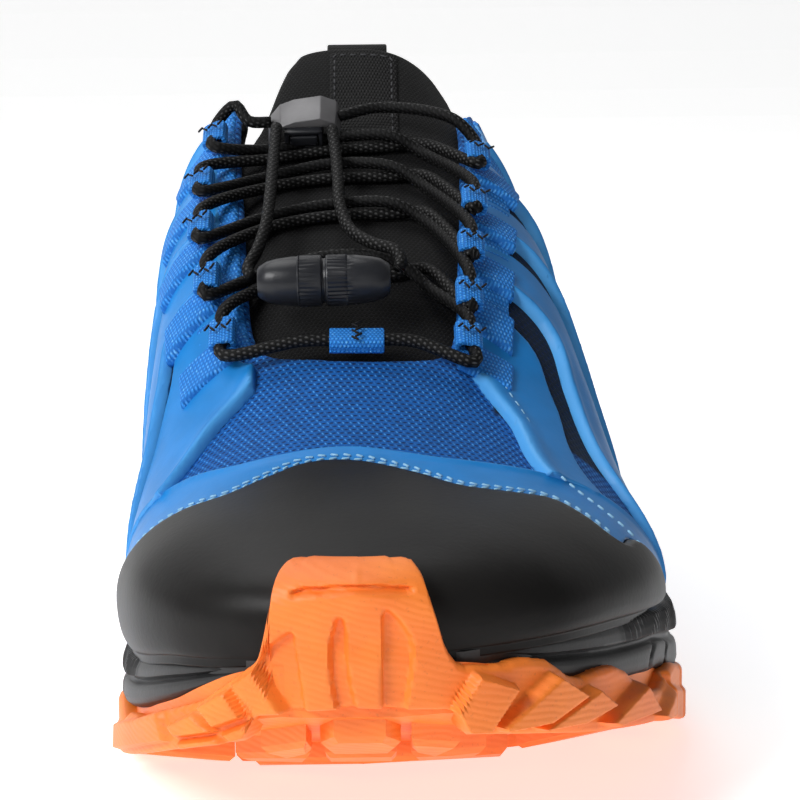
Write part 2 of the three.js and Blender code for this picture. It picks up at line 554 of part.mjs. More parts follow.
// Webbing loops: a flat ring round the lace
const LOOP_HOLE = { width: 5.6, height: 3.6 }
const chamfered = (width, height, cut) => [
  [-width / 2 + cut, -height / 2], [width / 2 - cut, -height / 2], [width / 2, -height / 2 + cut],
  [width / 2, height / 2 - cut], [width / 2 - cut, height / 2], [-width / 2 + cut, height / 2],
  [-width / 2, height / 2 - cut], [-width / 2, -height / 2 + cut]]
const LOOP_HEIGHT = LOOP_HOLE.height + 2 * LOOP_THICKNESS

function loopSolid(length, matrix) {
  const ring = new THREE.Shape(chamfered(LOOP_HOLE.width + 2 * LOOP_THICKNESS, LOOP_HEIGHT, 1.6)
    .map(([a, b]) => new THREE.Vector2(a, b)))
  ring.holes.push(new THREE.Path(chamfered(LOOP_HOLE.width, LOOP_HOLE.height, 1)
    .map(([a, b]) => new THREE.Vector2(a, b))))
  const geometry = new THREE.ExtrudeGeometry(ring, { depth: length, bevelEnabled: false, steps: 1 })
  geometry.translate(0, 0, -length / 2).rotateX(Math.PI / 2)
  return solidOf(geometry.applyMatrix4(matrix))
}

const LOOP_LIFT = GAP + OVERLAY + GAP
const loopPlaces = {
  medial: [[-0.56, 0.345], [-0.64, 0.393], [-0.685, 0.45], [-0.7, 0.512], [-0.655, 0.57]],
  lateral: [[0.337, 0.336], [0.348, 0.372], [0.362, 0.416], [0.382, 0.47], [0.405, 0.538]],
}
const loops = Object.fromEntries(Object.entries(loopPlaces).map(([side, places]) => [
  side, acrossBall(places).map(([x, y]) => frameOn(x, y, LOOP_LIFT, LOOP_HEIGHT / 2 + GAP))]))
for (const [side, frames] of Object.entries(loops)) {
  frames.forEach((frame, k) => place(`lace_loop_${side}_${k + 1}`, loopSolid(LOOP_LENGTH, frame), 0x3c96f0, 0.85))
}
const CENTRE_LOOP = { y: 0.329, length: 11 }
const centreFrame = frameOn(0, CENTRE_LOOP.y * SOLE_LENGTH, GAP, LOOP_HEIGHT / 2 + 0.3)
place('lace_loop_centre', loopSolid(CENTRE_LOOP.length,
  centreFrame.clone().multiply(new THREE.Matrix4().makeRotationZ(Math.PI / 2))), 0x3c96f0, 0.85)

// Lace: each strand runs from the inside of one loop, over the tongue, to the next
const LACE_SIDES = 6
const LACE_STEP = 8
const CORD_SIDES = 8
const CORD_STEP = 4
function tube(points, diameter, step, sides) {
  const path = new THREE.CatmullRomCurve3(points, false, 'centripetal')
  const section = new THREE.Shape(Array.from({ length: sides }, (_, k) => new THREE.Vector2(
    Math.cos(2 * Math.PI * k / sides), Math.sin(2 * Math.PI * k / sides)).multiplyScalar(diameter / 2)))
  const steps = Math.max(2, Math.round(path.getLength() / step))
  return solidOf(new THREE.ExtrudeGeometry(section, { steps, extrudePath: path, bevelEnabled: false }))
}
const inFrame = (frame, x, y, z) => new THREE.Vector3(x, y, z).applyMatrix4(frame)
const over = (x, y, lift) => new THREE.Vector3(x, y, roof(x, y, -WALL - TONGUE_LIFT) + lift + LACE_DIAMETER / 2)
const END_REACH = LOOP_LENGTH / 2 + 2
const LACE_REACH = 12
const LACE_BOW = 0.8
function strand(from, to, row, rise) {
  const start = inFrame(from, 0, END_REACH, LACE_BOW)
  const end = inFrame(to, 0, -END_REACH, LACE_BOW)
  const y = (start.y + end.y) / 2 + row.bulge
  const side = Math.sign(start.x) * LACE_REACH
  const lift = row.lift + rise
  const beside = (x, near) => over(x, THREE.MathUtils.lerp(y, near.y, 0.3), lift + 0.8)
  return tube([inFrame(from, 0, -0.5, 0), start, beside(side, start), over(0, y, lift),
    beside(-side, end), end, inFrame(to, 0, 0.5, 0)], LACE_DIAMETER, LACE_STEP, LACE_SIDES)
}
const rows = [{ lift: 0.8, bulge: 5.5 }, { lift: 0.8, bulge: 6 }, { lift: 0.8, bulge: 6 }, { lift: 0.8, bulge: 5 }]
const LACE_RISE = 1.6
const strands = []
rows.forEach((row, k) => {
  strands.push(strand(loops.medial[k], loops.lateral[k + 1], row, 0))
  strands.push(strand(loops.lateral[k], loops.medial[k + 1], row, LACE_RISE))
})
strands.push(tube([
  inFrame(loops.medial[0], 0, 0.5, 0), inFrame(loops.medial[0], 0, -END_REACH, 0),
  inFrame(centreFrame, -CENTRE_LOOP.length, 0, 0), inFrame(centreFrame, 0, 0, 0),
  inFrame(centreFrame, CENTRE_LOOP.length, 0, 0),
  inFrame(loops.lateral[0], 1.2, -END_REACH - 1.4, 0), inFrame(loops.lateral[0], 0, 0.5, 0)],
  LACE_DIAMETER, LACE_STEP, LACE_SIDES))

// Cord lock on the tongue: a faceted hood over a small frame with a push button
const LOCK = { x: -0.25, y: 0.585, lift: 0.9 }
const lockFrame = frameOn(LOCK.x * BALL_MEDIAL, LOCK.y * SOLE_LENGTH, -WALL - TONGUE_LIFT, LOCK.lift)
const box = (width, depth, height, x, y, z) =>
  new THREE.BoxGeometry(width, depth, height).translate(x, y, z)
const inLock = (geometry) => solidOf(geometry.applyMatrix4(lockFrame))
const hoodOutline = [[-0.5, 0.05], [-0.47, 0.33], [-0.32, 0.74], [-0.12, 0.9], [0.24, 1], [0.44, 0.8],
  [0.5, 0.46], [0.5, 0.25], [0.38, 0.25], [0.36, 0.66], [-0.26, 0.66], [-0.36, 0.3], [-0.37, 0.05]]
const TO_ACROSS = new THREE.Matrix4().makeRotationX(Math.PI / 2)
place('cord_lock_hood', solidOf(prism(wound(scaled(hoodOutline, LOCK_WIDTH, LOCK_HEIGHT)), -LOCK_DEPTH / 2,
  LOCK_DEPTH / 2).applyMatrix4(TO_ACROSS).applyMatrix4(lockFrame)), 0x828084, 0.35, 0.6)
const FRAME = { width: 8.6, height: 4.8, depth: 9.5, wall: 0.9, recess: 2 }
const faceY = -FRAME.depth / 2 - 1
const lockBody = inLock(box(FRAME.width, FRAME.depth, FRAME.height, 0, -1, FRAME.height / 2)).subtract(
  inLock(box(FRAME.width - 2 * FRAME.wall, 2 * FRAME.recess, FRAME.height - 2 * FRAME.wall,
    0, faceY, FRAME.height / 2)))
place('cord_lock_body', lockBody, 0x17181a, 0.5)
place('cord_lock_button', inLock(box(FRAME.width - 2 * FRAME.wall - 2 * GAP, FRAME.recess,
  FRAME.height - 2 * FRAME.wall - 2 * GAP, 0, faceY + FRAME.recess / 2 - GAP, FRAME.height / 2)), 0x303033, 0.5)

// The last stretch of lace on each side runs from its top loop to the lock
const [topMedial, topLateral] = [loops.medial.at(-1), loops.lateral.at(-1)]
strands.push(tube([inFrame(topMedial, 0, -0.5, 0), inFrame(topMedial, 0, END_REACH, 0),
  inFrame(topMedial, 5, END_REACH + 3.5, 1), inFrame(lockFrame, -LOCK_WIDTH / 2 - 4, 0.5, 4),
  inFrame(lockFrame, -LOCK_WIDTH / 2 - LACE_DIAMETER / 2 - GAP, 0.5, 3.5)], LACE_DIAMETER, LACE_STEP, LACE_SIDES))
strands.push(tube([inFrame(topLateral, 0, -0.5, 0), inFrame(topLateral, 0, END_REACH, 0),
  inFrame(topLateral, -6, END_REACH + 5, 2), inFrame(lockFrame, LOCK_WIDTH / 2 + 9, 4, 4),
  inFrame(lockFrame, LOCK_WIDTH / 2 + LACE_DIAMETER / 2 + GAP, 1, 4)], LACE_DIAMETER, LACE_STEP, LACE_SIDES))
place('lace_crossings', strands.reduce((all, one) => all.add(one)), 0x161719, 0.8)

// Barrel toggle that joins the lace's ends, turned about its own axis
const TOGGLE = { x: -0.135, y: 0.373 }
const toggleProfile = [[0, -0.5], [0.3, -0.5], [0.42, -0.43], [0.5, -0.3], [0.5, -0.02], [0.44, 0],
  [0.5, 0.02], [0.5, 0.3], [0.42, 0.43], [0.3, 0.5], [0, 0.5]]
const TOGGLE_SIDES = 12
const toggleFrame = frameOn(TOGGLE.x * BALL_MEDIAL, TOGGLE.y * SOLE_LENGTH, -WALL - TONGUE_LIFT,
  TOGGLE_DIAMETER / 2 + rows[0].lift + LACE_RISE + LACE_DIAMETER + GAP)
const toggleShape = new THREE.LatheGeometry(toggleProfile.map(([r, along]) =>
  new THREE.Vector2(r * TOGGLE_DIAMETER, along * TOGGLE_LENGTH)), TOGGLE_SIDES)
place('lace_toggle', solidOf(toggleShape.rotateZ(Math.PI / 2).applyMatrix4(toggleFrame)), 0x1d1e20, 0.45)

// Both ends of the lace hang free: out of the lock, over the crossings, into the toggle.
// Rows are shares of the ball, of the sole's length and of the lace's thickness over the tongue.
const laceEnd = (points) => tube(points.map(([x, y, lift]) =>
  over(x * BALL_MEDIAL, y * SOLE_LENGTH, (lift - 0.5) * LACE_DIAMETER)), LACE_DIAMETER, CORD_STEP, CORD_SIDES)
place('lace_end_medial', laceEnd([
  [-0.3828, 0.5583, 3.154], [-0.3871, 0.5333, 3.308], [-0.3914, 0.49, 3.462], [-0.3957, 0.4567, 3.538],
  [-0.4086, 0.4233, 3.615], [-0.443, 0.3983, 3.692], [-0.4817, 0.3827, 3.962], [-0.4645, 0.3737, 4.058]]), 0x161719, 0.8)
place('lace_end_lateral', laceEnd([
  [-0.114, 0.5583, 2.769], [-0.0989, 0.5333, 2.769], [-0.0839, 0.49, 2.769], [-0.0731, 0.4533, 2.769],
  [-0.0215, 0.4233, 2.769], [0.0774, 0.402, 3.308], [0.172, 0.3897, 3.885], [0.2, 0.3787, 4.038],
  [0.1892, 0.373, 4.058]]), 0x161719, 0.8)

// Heel pull: a band of webbing bent over the back of the collar
const PULL = { out: 0.986, inner: 0.945, top: 1.095, outEnd: 0.72, innerEnd: 0.947, thickness: 2.2 }
const archOutline = (inset) => {
  const [front, back] = [PULL.inner * SOLE_LENGTH + inset, PULL.out * SOLE_LENGTH + 3 - inset]
  const [half, mid] = [(back - front) / 2, (back + front) / 2]
  const centre = PULL.top * INSTEP_HEIGHT - (PULL.out - PULL.inner) * SOLE_LENGTH / 2 - 1.5
  const arc = Array.from({ length: 9 }, (_, k) => {
    const angle = Math.PI * k / 8
    return [mid + half * Math.cos(angle), centre + half * Math.sin(angle)]
  })
  return { arc, front, back }
}
const [outerArch, innerArch] = [archOutline(0), archOutline(PULL.thickness)]
place('heel_pull', sideCut(wound([
  [outerArch.back, PULL.outEnd * INSTEP_HEIGHT], ...outerArch.arc, [outerArch.front, PULL.innerEnd * INSTEP_HEIGHT],
  [innerArch.front, PULL.innerEnd * INSTEP_HEIGHT], ...innerArch.arc.reverse(),
  [innerArch.back, PULL.outEnd * INSTEP_HEIGHT]]), -PULL_WIDTH / 2, PULL_WIDTH / 2), 0x17181b, 0.9)

// The origin is under the middle of the shoe's box
const middle = new THREE.Box3().setFromObject(parts).getCenter(new THREE.Vector3())
parts.position.set(-middle.x, -middle.y, 0)

export default parts
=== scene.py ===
# %% [markdown]
# A low hiking shoe for the left foot, seen from the front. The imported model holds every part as
# a plain faceted solid. Each visible part gets a finished piece over the same forms, made from
# the same tables of sections, so the two always agree in place and size.

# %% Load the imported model
import math

import bmesh
import bpy
import numpy as np
from mathutils import Matrix, Vector


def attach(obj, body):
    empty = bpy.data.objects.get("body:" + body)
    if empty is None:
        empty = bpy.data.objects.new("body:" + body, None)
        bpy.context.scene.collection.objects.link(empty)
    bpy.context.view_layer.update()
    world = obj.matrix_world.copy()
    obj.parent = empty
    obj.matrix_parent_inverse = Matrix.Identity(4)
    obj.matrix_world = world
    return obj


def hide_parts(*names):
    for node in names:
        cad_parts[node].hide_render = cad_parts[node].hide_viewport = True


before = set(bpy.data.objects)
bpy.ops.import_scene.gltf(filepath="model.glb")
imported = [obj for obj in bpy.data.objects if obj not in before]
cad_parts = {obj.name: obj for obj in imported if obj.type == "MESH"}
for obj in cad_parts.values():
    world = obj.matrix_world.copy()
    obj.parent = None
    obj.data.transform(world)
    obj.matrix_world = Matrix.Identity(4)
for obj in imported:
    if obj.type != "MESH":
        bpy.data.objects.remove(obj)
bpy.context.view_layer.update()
bpy.ops.object.select_all(action="DESELECT")
print("nodes", len(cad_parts))

# %% [markdown]
# All lengths are in millimetres behind the tip of the toe, as in the model's own tables. One
# function moves a drawn point to its place in metres under the shoe's origin.

# %% From the drawing to the scene
MM = 0.001
ORIGIN_X, ORIGIN_Y = -8.648, -149.257


def placed(points):
    points = np.asarray(points, float).reshape(-1, 3)
    return (points + np.array([ORIGIN_X, ORIGIN_Y, 0.0])) * MM


print("toe tip at", placed([[0, 0, 0]])[0])

# %% [markdown]
# The camera stands low in front of the toe with a long lens, as the photographer did. Its place,
# its slight roll and its framing come from matching the outline of the shoe.

# %% Camera
EYE = (3.1, -420.0, 160.2)
FOCAL = 2606.5
FRAME_SIZE = 800
SENSOR = 36.0
PITCH = 0.1792
ROLL = -0.0123
SIDE_SHIFT = 27.2

lens = bpy.data.cameras.new("photo_lens")
lens.sensor_width = SENSOR
lens.lens = SENSOR * FOCAL / FRAME_SIZE
lens.shift_x = SIDE_SHIFT / FRAME_SIZE
lens.clip_start = 0.01
camera = bpy.data.objects.new("photo_camera", lens)
bpy.context.collection.objects.link(camera)
camera.matrix_world = (Matrix.Translation(Vector(placed([EYE])[0]))
                       @ Matrix.Rotation(math.pi / 2 - PITCH, 4, "X") @ Matrix.Rotation(ROLL, 4, "Z"))
bpy.context.scene.camera = camera
print("lens", round(lens.lens, 1), "mm")

# %% [markdown]
# The studio is a white sweep: a floor that curves up into a wall behind the shoe. It glows a little so
# that it stays white, and that glow also lights the shoe. Out of the frame, on the right, its colour and
# glow are painted darker as shade, so less light reaches the shoe's right side. One large soft light
# stands at the upper left, a weak one in front and one above, so the black rubber keeps soft
# highlights and the right side falls in shade.

# %% Floor and lights
WORLD_LEVEL = 0.12
PAPER_TONE, PAPER_GLOW = (0.88, 0.6), (0.6, 0.25)
DARKER_FROM, DARKER_LEAN = (0.16, 0.24), -0.175
bpy.context.scene.view_settings.view_transform = "Standard"
world = bpy.data.worlds.new("white_room")
world.use_nodes = True
world.node_tree.nodes["Background"].inputs[0].default_value = (1, 1, 1, 1)
world.node_tree.nodes["Background"].inputs[1].default_value = WORLD_LEVEL
bpy.context.scene.world = world

bpy.ops.mesh.primitive_grid_add(x_subdivisions=2, y_subdivisions=60, size=1, location=(0, 0, 0))
floor = bpy.context.object
floor.name = "studio_floor"
for v in floor.data.vertices:
    far = (v.co.y + 0.5) * 8 - 2
    bend = min(max(far - 1.5, 0) / 1.5, math.pi / 2)
    rest = max(far - 1.5 - 1.5 * math.pi / 2, 0)
    v.co = (v.co.x * 14, min(far, 1.5) + 1.5 * math.sin(bend), 1.5 * (1 - math.cos(bend)) + rest - 0.0004)
paper = bpy.data.materials.new("white_paper")
paper.use_nodes = True
paper_sockets = paper.node_tree.nodes["Principled BSDF"].inputs
paper_sockets["Roughness"].default_value = 0.9
paper_sockets["Emission Color"].default_value = (1, 1, 1, 1)
nodes, links = paper.node_tree.nodes, paper.node_tree.links
where = nodes.new("ShaderNodeTexCoord")
split = nodes.new("ShaderNodeSeparateXYZ")
links.new(where.outputs["Object"], split.inputs[0])
# Painted shade: to the right, out of the frame, the floor's colour and glow fall off, so less light reaches
# the shoe's right side.
beside = nodes.new("ShaderNodeMath")
beside.operation = "MULTIPLY_ADD"
beside.inputs[1].default_value = DARKER_LEAN
links.new(split.outputs["Y"], beside.inputs[0])
links.new(split.outputs["X"], beside.inputs[2])
for socket, values in (("Base Color", PAPER_TONE), ("Emission Strength", PAPER_GLOW)):
    shade = nodes.new("ShaderNodeMapRange")
    for k, value in enumerate(DARKER_FROM + values, start=1):
        shade.inputs[k].default_value = value
    links.new(beside.outputs[0], shade.inputs[0])
    links.new(shade.outputs[0], paper_sockets[socket])
floor.data.materials.append(paper)


def soft_light(name, place, size, power):
    data = bpy.data.lights.new(name, "AREA")
    data.size = size
    data.energy = power
    light = bpy.data.objects.new(name, data)
    light.location = place
    light.rotation_euler = (Vector((0, -0.03, 0.06)) - Vector(place)).to_track_quat("-Z", "Y").to_euler()
    bpy.context.collection.objects.link(light)


soft_light("key_light", (-0.85, -0.75, 0.85), 0.5, 14)
soft_light("fill_light", (0.3, -1.2, 0.35), 0.7, 1.0)
soft_light("top_light", (-0.35, 0.3, 1.2), 0.8, 6)
print("lights", 3)

# %% [markdown]
# Every finish is a small recipe of nodes. These helpers keep a recipe short: each one adds a node
# and gives back its output.

# %% Recipe helpers
class Finish:
    def __init__(self, name, roughness=0.6, **sockets):
        self.material = bpy.data.materials.new(name)
        self.material.use_nodes = True
        self.tree = self.material.node_tree
        self.shader = self.tree.nodes["Principled BSDF"]
        self.shader.inputs["Roughness"].default_value = roughness
        for key, value in sockets.items():
            self.shader.inputs[key.replace("_", " ")].default_value = value

    def node(self, kind, **settings):
        made = self.tree.nodes.new(kind)
        for key, value in settings.items():
            setattr(made, key, value)
        return made

    def feed(self, socket, value):
        if isinstance(value, bpy.types.NodeSocket):
            self.tree.links.new(value, socket)
        elif hasattr(value, "__len__") and len(value) == 3 and socket.type == "RGBA":
            socket.default_value = (*value, 1)
        else:
            socket.default_value = value

    def math(self, operation, a, b=0.0):
        made = self.node("ShaderNodeMath", operation=operation)
        for socket, value in zip(made.inputs, (a, b)):
            self.feed(socket, value)
        return made.outputs[0]

    def ramp(self, value, low, high, to_low=0.0, to_high=1.0):
        made = self.node("ShaderNodeMapRange", interpolation_type="SMOOTHSTEP")
        for socket, given in zip(made.inputs, (value, low, high, to_low, to_high)):
            self.feed(socket, given)
        return made.outputs[0]

    def mix(self, share, a, b):
        made = self.node("ShaderNodeMix", data_type="RGBA")
        self.feed(made.inputs[0], share)
        self.feed(made.inputs[6], a)
        self.feed(made.inputs[7], b)
        return made.outputs[2]

    def place(self):
        return self.node("ShaderNodeTexCoord").outputs["Object"]

    def noise(self, scale, detail=2.0):
        made = self.node("ShaderNodeTexNoise")
        self.feed(made.inputs["Vector"], self.place())
        made.inputs["Scale"].default_value = scale
        made.inputs["Detail"].default_value = detail
        return made.outputs["Fac"]

    def flat(self):
        split = self.node("ShaderNodeSeparateXYZ")
        self.feed(split.inputs[0], self.node("ShaderNodeUVMap", uv_map="cloth").outputs[0])
        return split.outputs[0], split.outputs[1]

    def bump(self, height, strength, depth):
        made = self.node("ShaderNodeBump")
        made.inputs["Strength"].default_value = strength
        made.inputs["Distance"].default_value = depth
        self.feed(made.inputs["Height"], height)
        self.feed(self.shader.inputs["Normal"], made.outputs[0])

    def colour(self, value):
        self.feed(self.shader.inputs["Base Color"], value)


print("recipe helpers ready")

# %% [markdown]
# The upper was stretched over a last, a foot-shaped form. Here the last is a table of sections:
# every column is a smooth curve over the length. Operators can't follow such a surface, so the
# pieces that lie on it are drawn in the table's own two directions and then lifted to their
# height over it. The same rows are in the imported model, so the pieces cover its solids exactly.

# %% Tables of sections
SOLE_LENGTH, BALL_INNER, BALL_OUTER, INSTEP = 300.0, 46.5, 64.5, 118.0
TOE_INSET, HEEL_INSET, TIP_ROUND = 5.0, 4.0, 14.0


def angle_of(share):
    return np.arccos(1 - 2 * np.clip(share, 0, 1)) / np.pi


def table(names, rows):
    rows = np.array(rows, float)
    at = angle_of(rows[:, 0])
    step = np.diff(at)

    def column(value):
        rise = np.diff(value) / step
        slope = np.concatenate([rise[:1], np.zeros(len(rise) - 1), rise[-1:]])
        same = rise[:-1] * rise[1:] > 0
        slope[1:-1][same] = 2 / (1 / rise[:-1][same] + 1 / rise[1:][same])

        def read(share):
            angle = angle_of(share)
            k = np.clip(np.searchsorted(at, angle, side="right") - 1, 0, len(step) - 1)
            t = (angle - at[k]) / step[k]
            level = value[k] * (1 + 2 * t) * (1 - t) ** 2 + value[k + 1] * t * t * (3 - 2 * t)
            return level + step[k] * (slope[k] * t * (1 - t) ** 2 + slope[k + 1] * t * t * (t - 1))
        return read

    return {name: column(rows[:, k + 1]) for k, name in enumerate(names.split()[1:])}


SOLE = table("along medial lateral spring arch heel tread rim_medial rim_lateral", [
    [0, 0, 0, 1, 0, 0, 1.35, 0.98, 0.99],
    [0.007, 0.29, 0.22, 0.95, 0, 0, 1.34, 0.97, 0.99],
    [0.02, 0.48, 0.37, 0.87, 0, 0, 1.3, 0.95, 0.99],
    [0.04, 0.64, 0.49, 0.75, 0, 0, 1.15, 0.91, 0.98],
    [0.067, 0.76, 0.6, 0.61, 0, 0, 1, 0.87, 0.96],
    [0.117, 0.89, 0.75, 0.39, 0, 0, 0.95, 0.77, 0.91],
    [0.167, 0.96, 0.86, 0.2, 0, 0, 1, 0.69, 0.85],
    [0.233, 1, 0.95, 0.03, 0, 0, 1.05, 0.63, 0.76],
    [0.26, 1, 0.98, 0, 0, 0, 1.05, 0.61, 0.72],
    [0.3, 0.98, 1, 0, 0, 0, 1.05, 0.6, 0.68],
    [0.345, 0.94, 1, 0, 0, 0, 1, 0.62, 0.66],
    [0.4, 0.89, 0.95, 0, 0, 0, 1, 0.66, 0.67],
    [0.47, 0.82, 0.83, 0, 0.75, 0, 1, 0.73, 0.71],
    [0.56, 0.78, 0.74, 0, 1, 0, 1, 0.8, 0.77],
    [0.64, 0.79, 0.69, 0, 0.4, 0, 1, 0.86, 0.83],
    [0.71, 0.82, 0.67, 0, 0, 0, 1, 0.9, 0.88],
    [0.8, 0.84, 0.655, 0, 0, 0, 1, 0.94, 0.93],
    [0.87, 0.82, 0.62, 0, 0, 0, 1.05, 0.98, 0.98],
    [0.92, 0.74, 0.555, 0, 0, 0.08, 1.1, 1, 1],
    [0.955, 0.6, 0.445, 0, 0, 0.4, 1.2, 1.02, 1.02],
    [0.985, 0.37, 0.275, 0, 0, 0.8, 1.25, 1.03, 1.03],
    [1, 0, 0, 0, 0, 1, 1.3, 1.04, 1.04],
])
LAST = table("along medial lateral top belly boxy_medial boxy_lateral tuck crest", [
    [0, 0, 0, 0.4, 0.36, 2.2, 2.2, 0.02, 0],
    [0.012, 0.33, 0.26, 0.42, 0.36, 2.3, 2.3, 0.03, 0],
    [0.03, 0.52, 0.41, 0.437, 0.355, 2.4, 2.4, 0.04, 0],
    [0.055, 0.67, 0.55, 0.452, 0.35, 2.4, 2.4, 0.05, -0.02],
    [0.105, 0.83, 0.71, 0.478, 0.34, 2.3, 2.2, 0.06, -0.05],
    [0.155, 0.91, 0.82, 0.497, 0.32, 2.15, 2.1, 0.06, -0.07],
    [0.2, 0.955, 0.88, 0.513, 0.3, 2.05, 2, 0.06, -0.07],
    [0.245, 0.975, 0.905, 0.55, 0.285, 2, 1.9, 0.06, -0.06],
    [0.285, 0.975, 0.9, 0.594, 0.28, 2.1, 1.9, 0.06, -0.04],
    [0.33, 0.955, 0.87, 0.652, 0.29, 2.5, 2, 0.07, -0.02],
    [0.395, 0.94, 0.79, 0.757, 0.35, 3.3, 2.5, 0.12, 0],
    [0.465, 0.93, 0.72, 0.84, 0.41, 4, 3.1, 0.17, 0],
    [0.53, 0.93, 0.67, 0.905, 0.45, 4.2, 3.5, 0.18, 0],
    [0.6, 0.9, 0.61, 1, 0.46, 4, 3.1, 0.15, 0],
    [0.685, 0.83, 0.57, 1.14, 0.44, 3.2, 2.5, 0.09, 0],
    [0.79, 0.8, 0.56, 1.25, 0.44, 2.3, 2.1, 0.06, 0],
    [0.88, 0.75, 0.53, 1.25, 0.44, 2.1, 2.1, 0.05, 0],
    [0.94, 0.6, 0.43, 1.25, 0.44, 2.1, 2.1, 0.04, 0],
    [0.98, 0.37, 0.27, 1.25, 0.44, 2.2, 2.2, 0.03, 0],
    [1, 0, 0, 1.25, 0.44, 2.2, 2.2, 0.02, 0],
])
print("sections in the last", 20)

# %% [markdown]
# The sole's own curves come first: where it leaves the ground, how high the tread stands and how
# high its rim is at each side.

# %% Levels of the sole
TOE_SPRING, ARCH_LIFT, HEEL_BEVEL, RIM_HEIGHT, TREAD_HEIGHT = 27.0, 6.0, 7.0, 40.0, 10.0
FLEX_RAMP, SEAT_GAP = 0.2, 0.6


def ground(share, side):
    lag = np.where(np.sign(side) == 0, 0, np.where(np.sign(side) < 0, 0.035, 0.088))
    late = np.maximum(share - lag * np.minimum(1, np.asarray(share) / FLEX_RAMP), 0)
    return (SOLE["spring"](late) * TOE_SPRING + SOLE["arch"](share) * ARCH_LIFT
            + SOLE["heel"](share) * HEEL_BEVEL)


def tread_top(share, side):
    return ground(share, side) + SOLE["tread"](share) * TREAD_HEIGHT


def rim(share, side):
    return RIM_HEIGHT * np.where(np.asarray(side) < 0, SOLE["rim_medial"](share),
                                 SOLE["rim_lateral"](share))


def sole_half(share, side):
    return np.where(np.asarray(side) < 0, BALL_INNER * SOLE["medial"](share),
                    BALL_OUTER * SOLE["lateral"](share))


def seat(x, y):
    share = np.clip(y / SOLE_LENGTH, 0, 1)
    left, right = sole_half(share, -1), sole_half(share, 1)
    blend = np.clip((x + left) / np.maximum(1, left + right), 0, 1)
    return rim(share, -1) + (rim(share, 1) - rim(share, -1)) * blend


print("rim at the ball", float(np.round(rim(0.3, 1), 1)), "mm")

# %% [markdown]
# A place on the last has two numbers: the share of the length, and how far round it is, from 0 at
# the crest to 1 at the outer edge of the base and -1 at the inner one. A third, grow, is the
# height over the surface in millimetres.

# %% A place on the last
BELLY = 0.72
LEAN_FROM, HEEL_LEAN, BULGE = 0.72, 5.0, 60.0


def on_last(share, around, grow=0.0):
    share, around, grow = np.broadcast_arrays(*(np.asarray(v, float) for v in (share, around, grow)))
    side = np.where(around < 0, -1.0, 1.0)
    y = TOE_INSET - grow + share * (SOLE_LENGTH - TOE_INSET - HEEL_INSET + 2 * grow)
    own = np.where(side < 0, LAST["medial"](share) * BALL_INNER, LAST["lateral"](share) * BALL_OUTER)
    half = own + grow * np.minimum(1, own / TIP_ROUND)
    crest = LAST["crest"](share) * BALL_INNER * side
    top = LAST["top"](share) * INSTEP + grow
    base = half - own * LAST["tuck"](share)
    low = seat(side * own, y) + SEAT_GAP
    belly = np.maximum(low + 2, LAST["belly"](share) * INSTEP)
    u = np.abs(around)
    under = np.clip((1 - u) / (1 - BELLY), 0, 1) * np.pi / 2
    turn = np.clip((BELLY - u) / BELLY, 0, 1) * np.pi / 2
    power = np.where(side < 0, LAST["boxy_medial"](share), LAST["boxy_lateral"](share))
    c, s = np.abs(np.cos(turn)), np.abs(np.sin(turn))
    reach = (c ** power + s ** power) ** (-1 / power)
    x = np.where(u > BELLY, base + (half - base) * np.sin(under), crest + (half - crest) * reach * c)
    z = np.where(u > BELLY, belly - (belly - low) * np.cos(under), belly + (top - belly) * reach * s)
    z = z - np.clip(u - 1, 0, 1) * 20
    ease = np.clip((share - LEAN_FROM) / (1 - LEAN_FROM), 0, 1)
    y = y - ease * ease * (3 - 2 * ease) * HEEL_LEAN * ((z - BULGE) / (INSTEP - BULGE)) ** 2
    return np.stack([side * x, y, z], axis=-1)


def out_of_last(share, around, grow=0.0, step=0.002):
    across = on_last(share, around + step, grow) - on_last(share, around - step, grow)
    along = on_last(np.clip(share + step, 0, 1), around, grow) - on_last(np.clip(share - step, 0, 1),
                                                                         around, grow)
    out = np.cross(across, along)
    return out / np.maximum(np.linalg.norm(out, axis=-1, keepdims=True), 1e-9)


print("toe crest", np.round(on_last(0.2, 0.0), 1))

# %% [markdown]
# Lines on the shoe are drawn in plan or from the side, as a pattern maker draws them. These two
# functions find the place on the last under such a drawn point by halving.

# %% From a drawn point to the last
def share_at(y, z=None):
    share = np.clip((y - TOE_INSET) / (SOLE_LENGTH - TOE_INSET - HEEL_INSET), 0.0005, 0.9995)
    if z is None:
        return share
    for _ in range(4):
        ease = np.clip((share - LEAN_FROM) / (1 - LEAN_FROM), 0, 1)
        lean = ease * ease * (3 - 2 * ease) * HEEL_LEAN * ((z - BULGE) / (INSTEP - BULGE)) ** 2
        share = np.clip((y + lean - TOE_INSET) / (SOLE_LENGTH - TOE_INSET - HEEL_INSET), 0.0005, 0.9995)
    return share


def halved(read, low, high, rising):
    low, high = np.asarray(low, float), np.asarray(high, float)
    for _ in range(26):
        middle = (low + high) / 2
        more = (read(middle) < 0) == rising
        low, high = np.where(more, middle, low), np.where(more, high, middle)
    return (low + high) / 2


def from_plan(x, y):
    x, y = np.broadcast_arrays(np.asarray(x, float), np.asarray(y, float))
    share = share_at(y)
    size = np.ones_like(x) * BELLY
    return share, halved(lambda u: on_last(share, u)[..., 0] - x, -size, size, True)


def from_side(y, z, side):
    y, z = np.broadcast_arrays(np.asarray(y, float), np.asarray(z, float))
    share = share_at(y, z)
    return share, side * halved(lambda u: on_last(share, side * u)[..., 2] - z, np.zeros_like(z),
                                np.ones_like(z), False)


print("from plan", from_plan(0.0, 90.0)[1])

# %% [markdown]
# A cut-out works like scissors: a region is a number for every point, below zero inside. Corners
# of the mesh are added exactly where that number passes zero, so every edge comes out clean
# however coarse the mesh is.

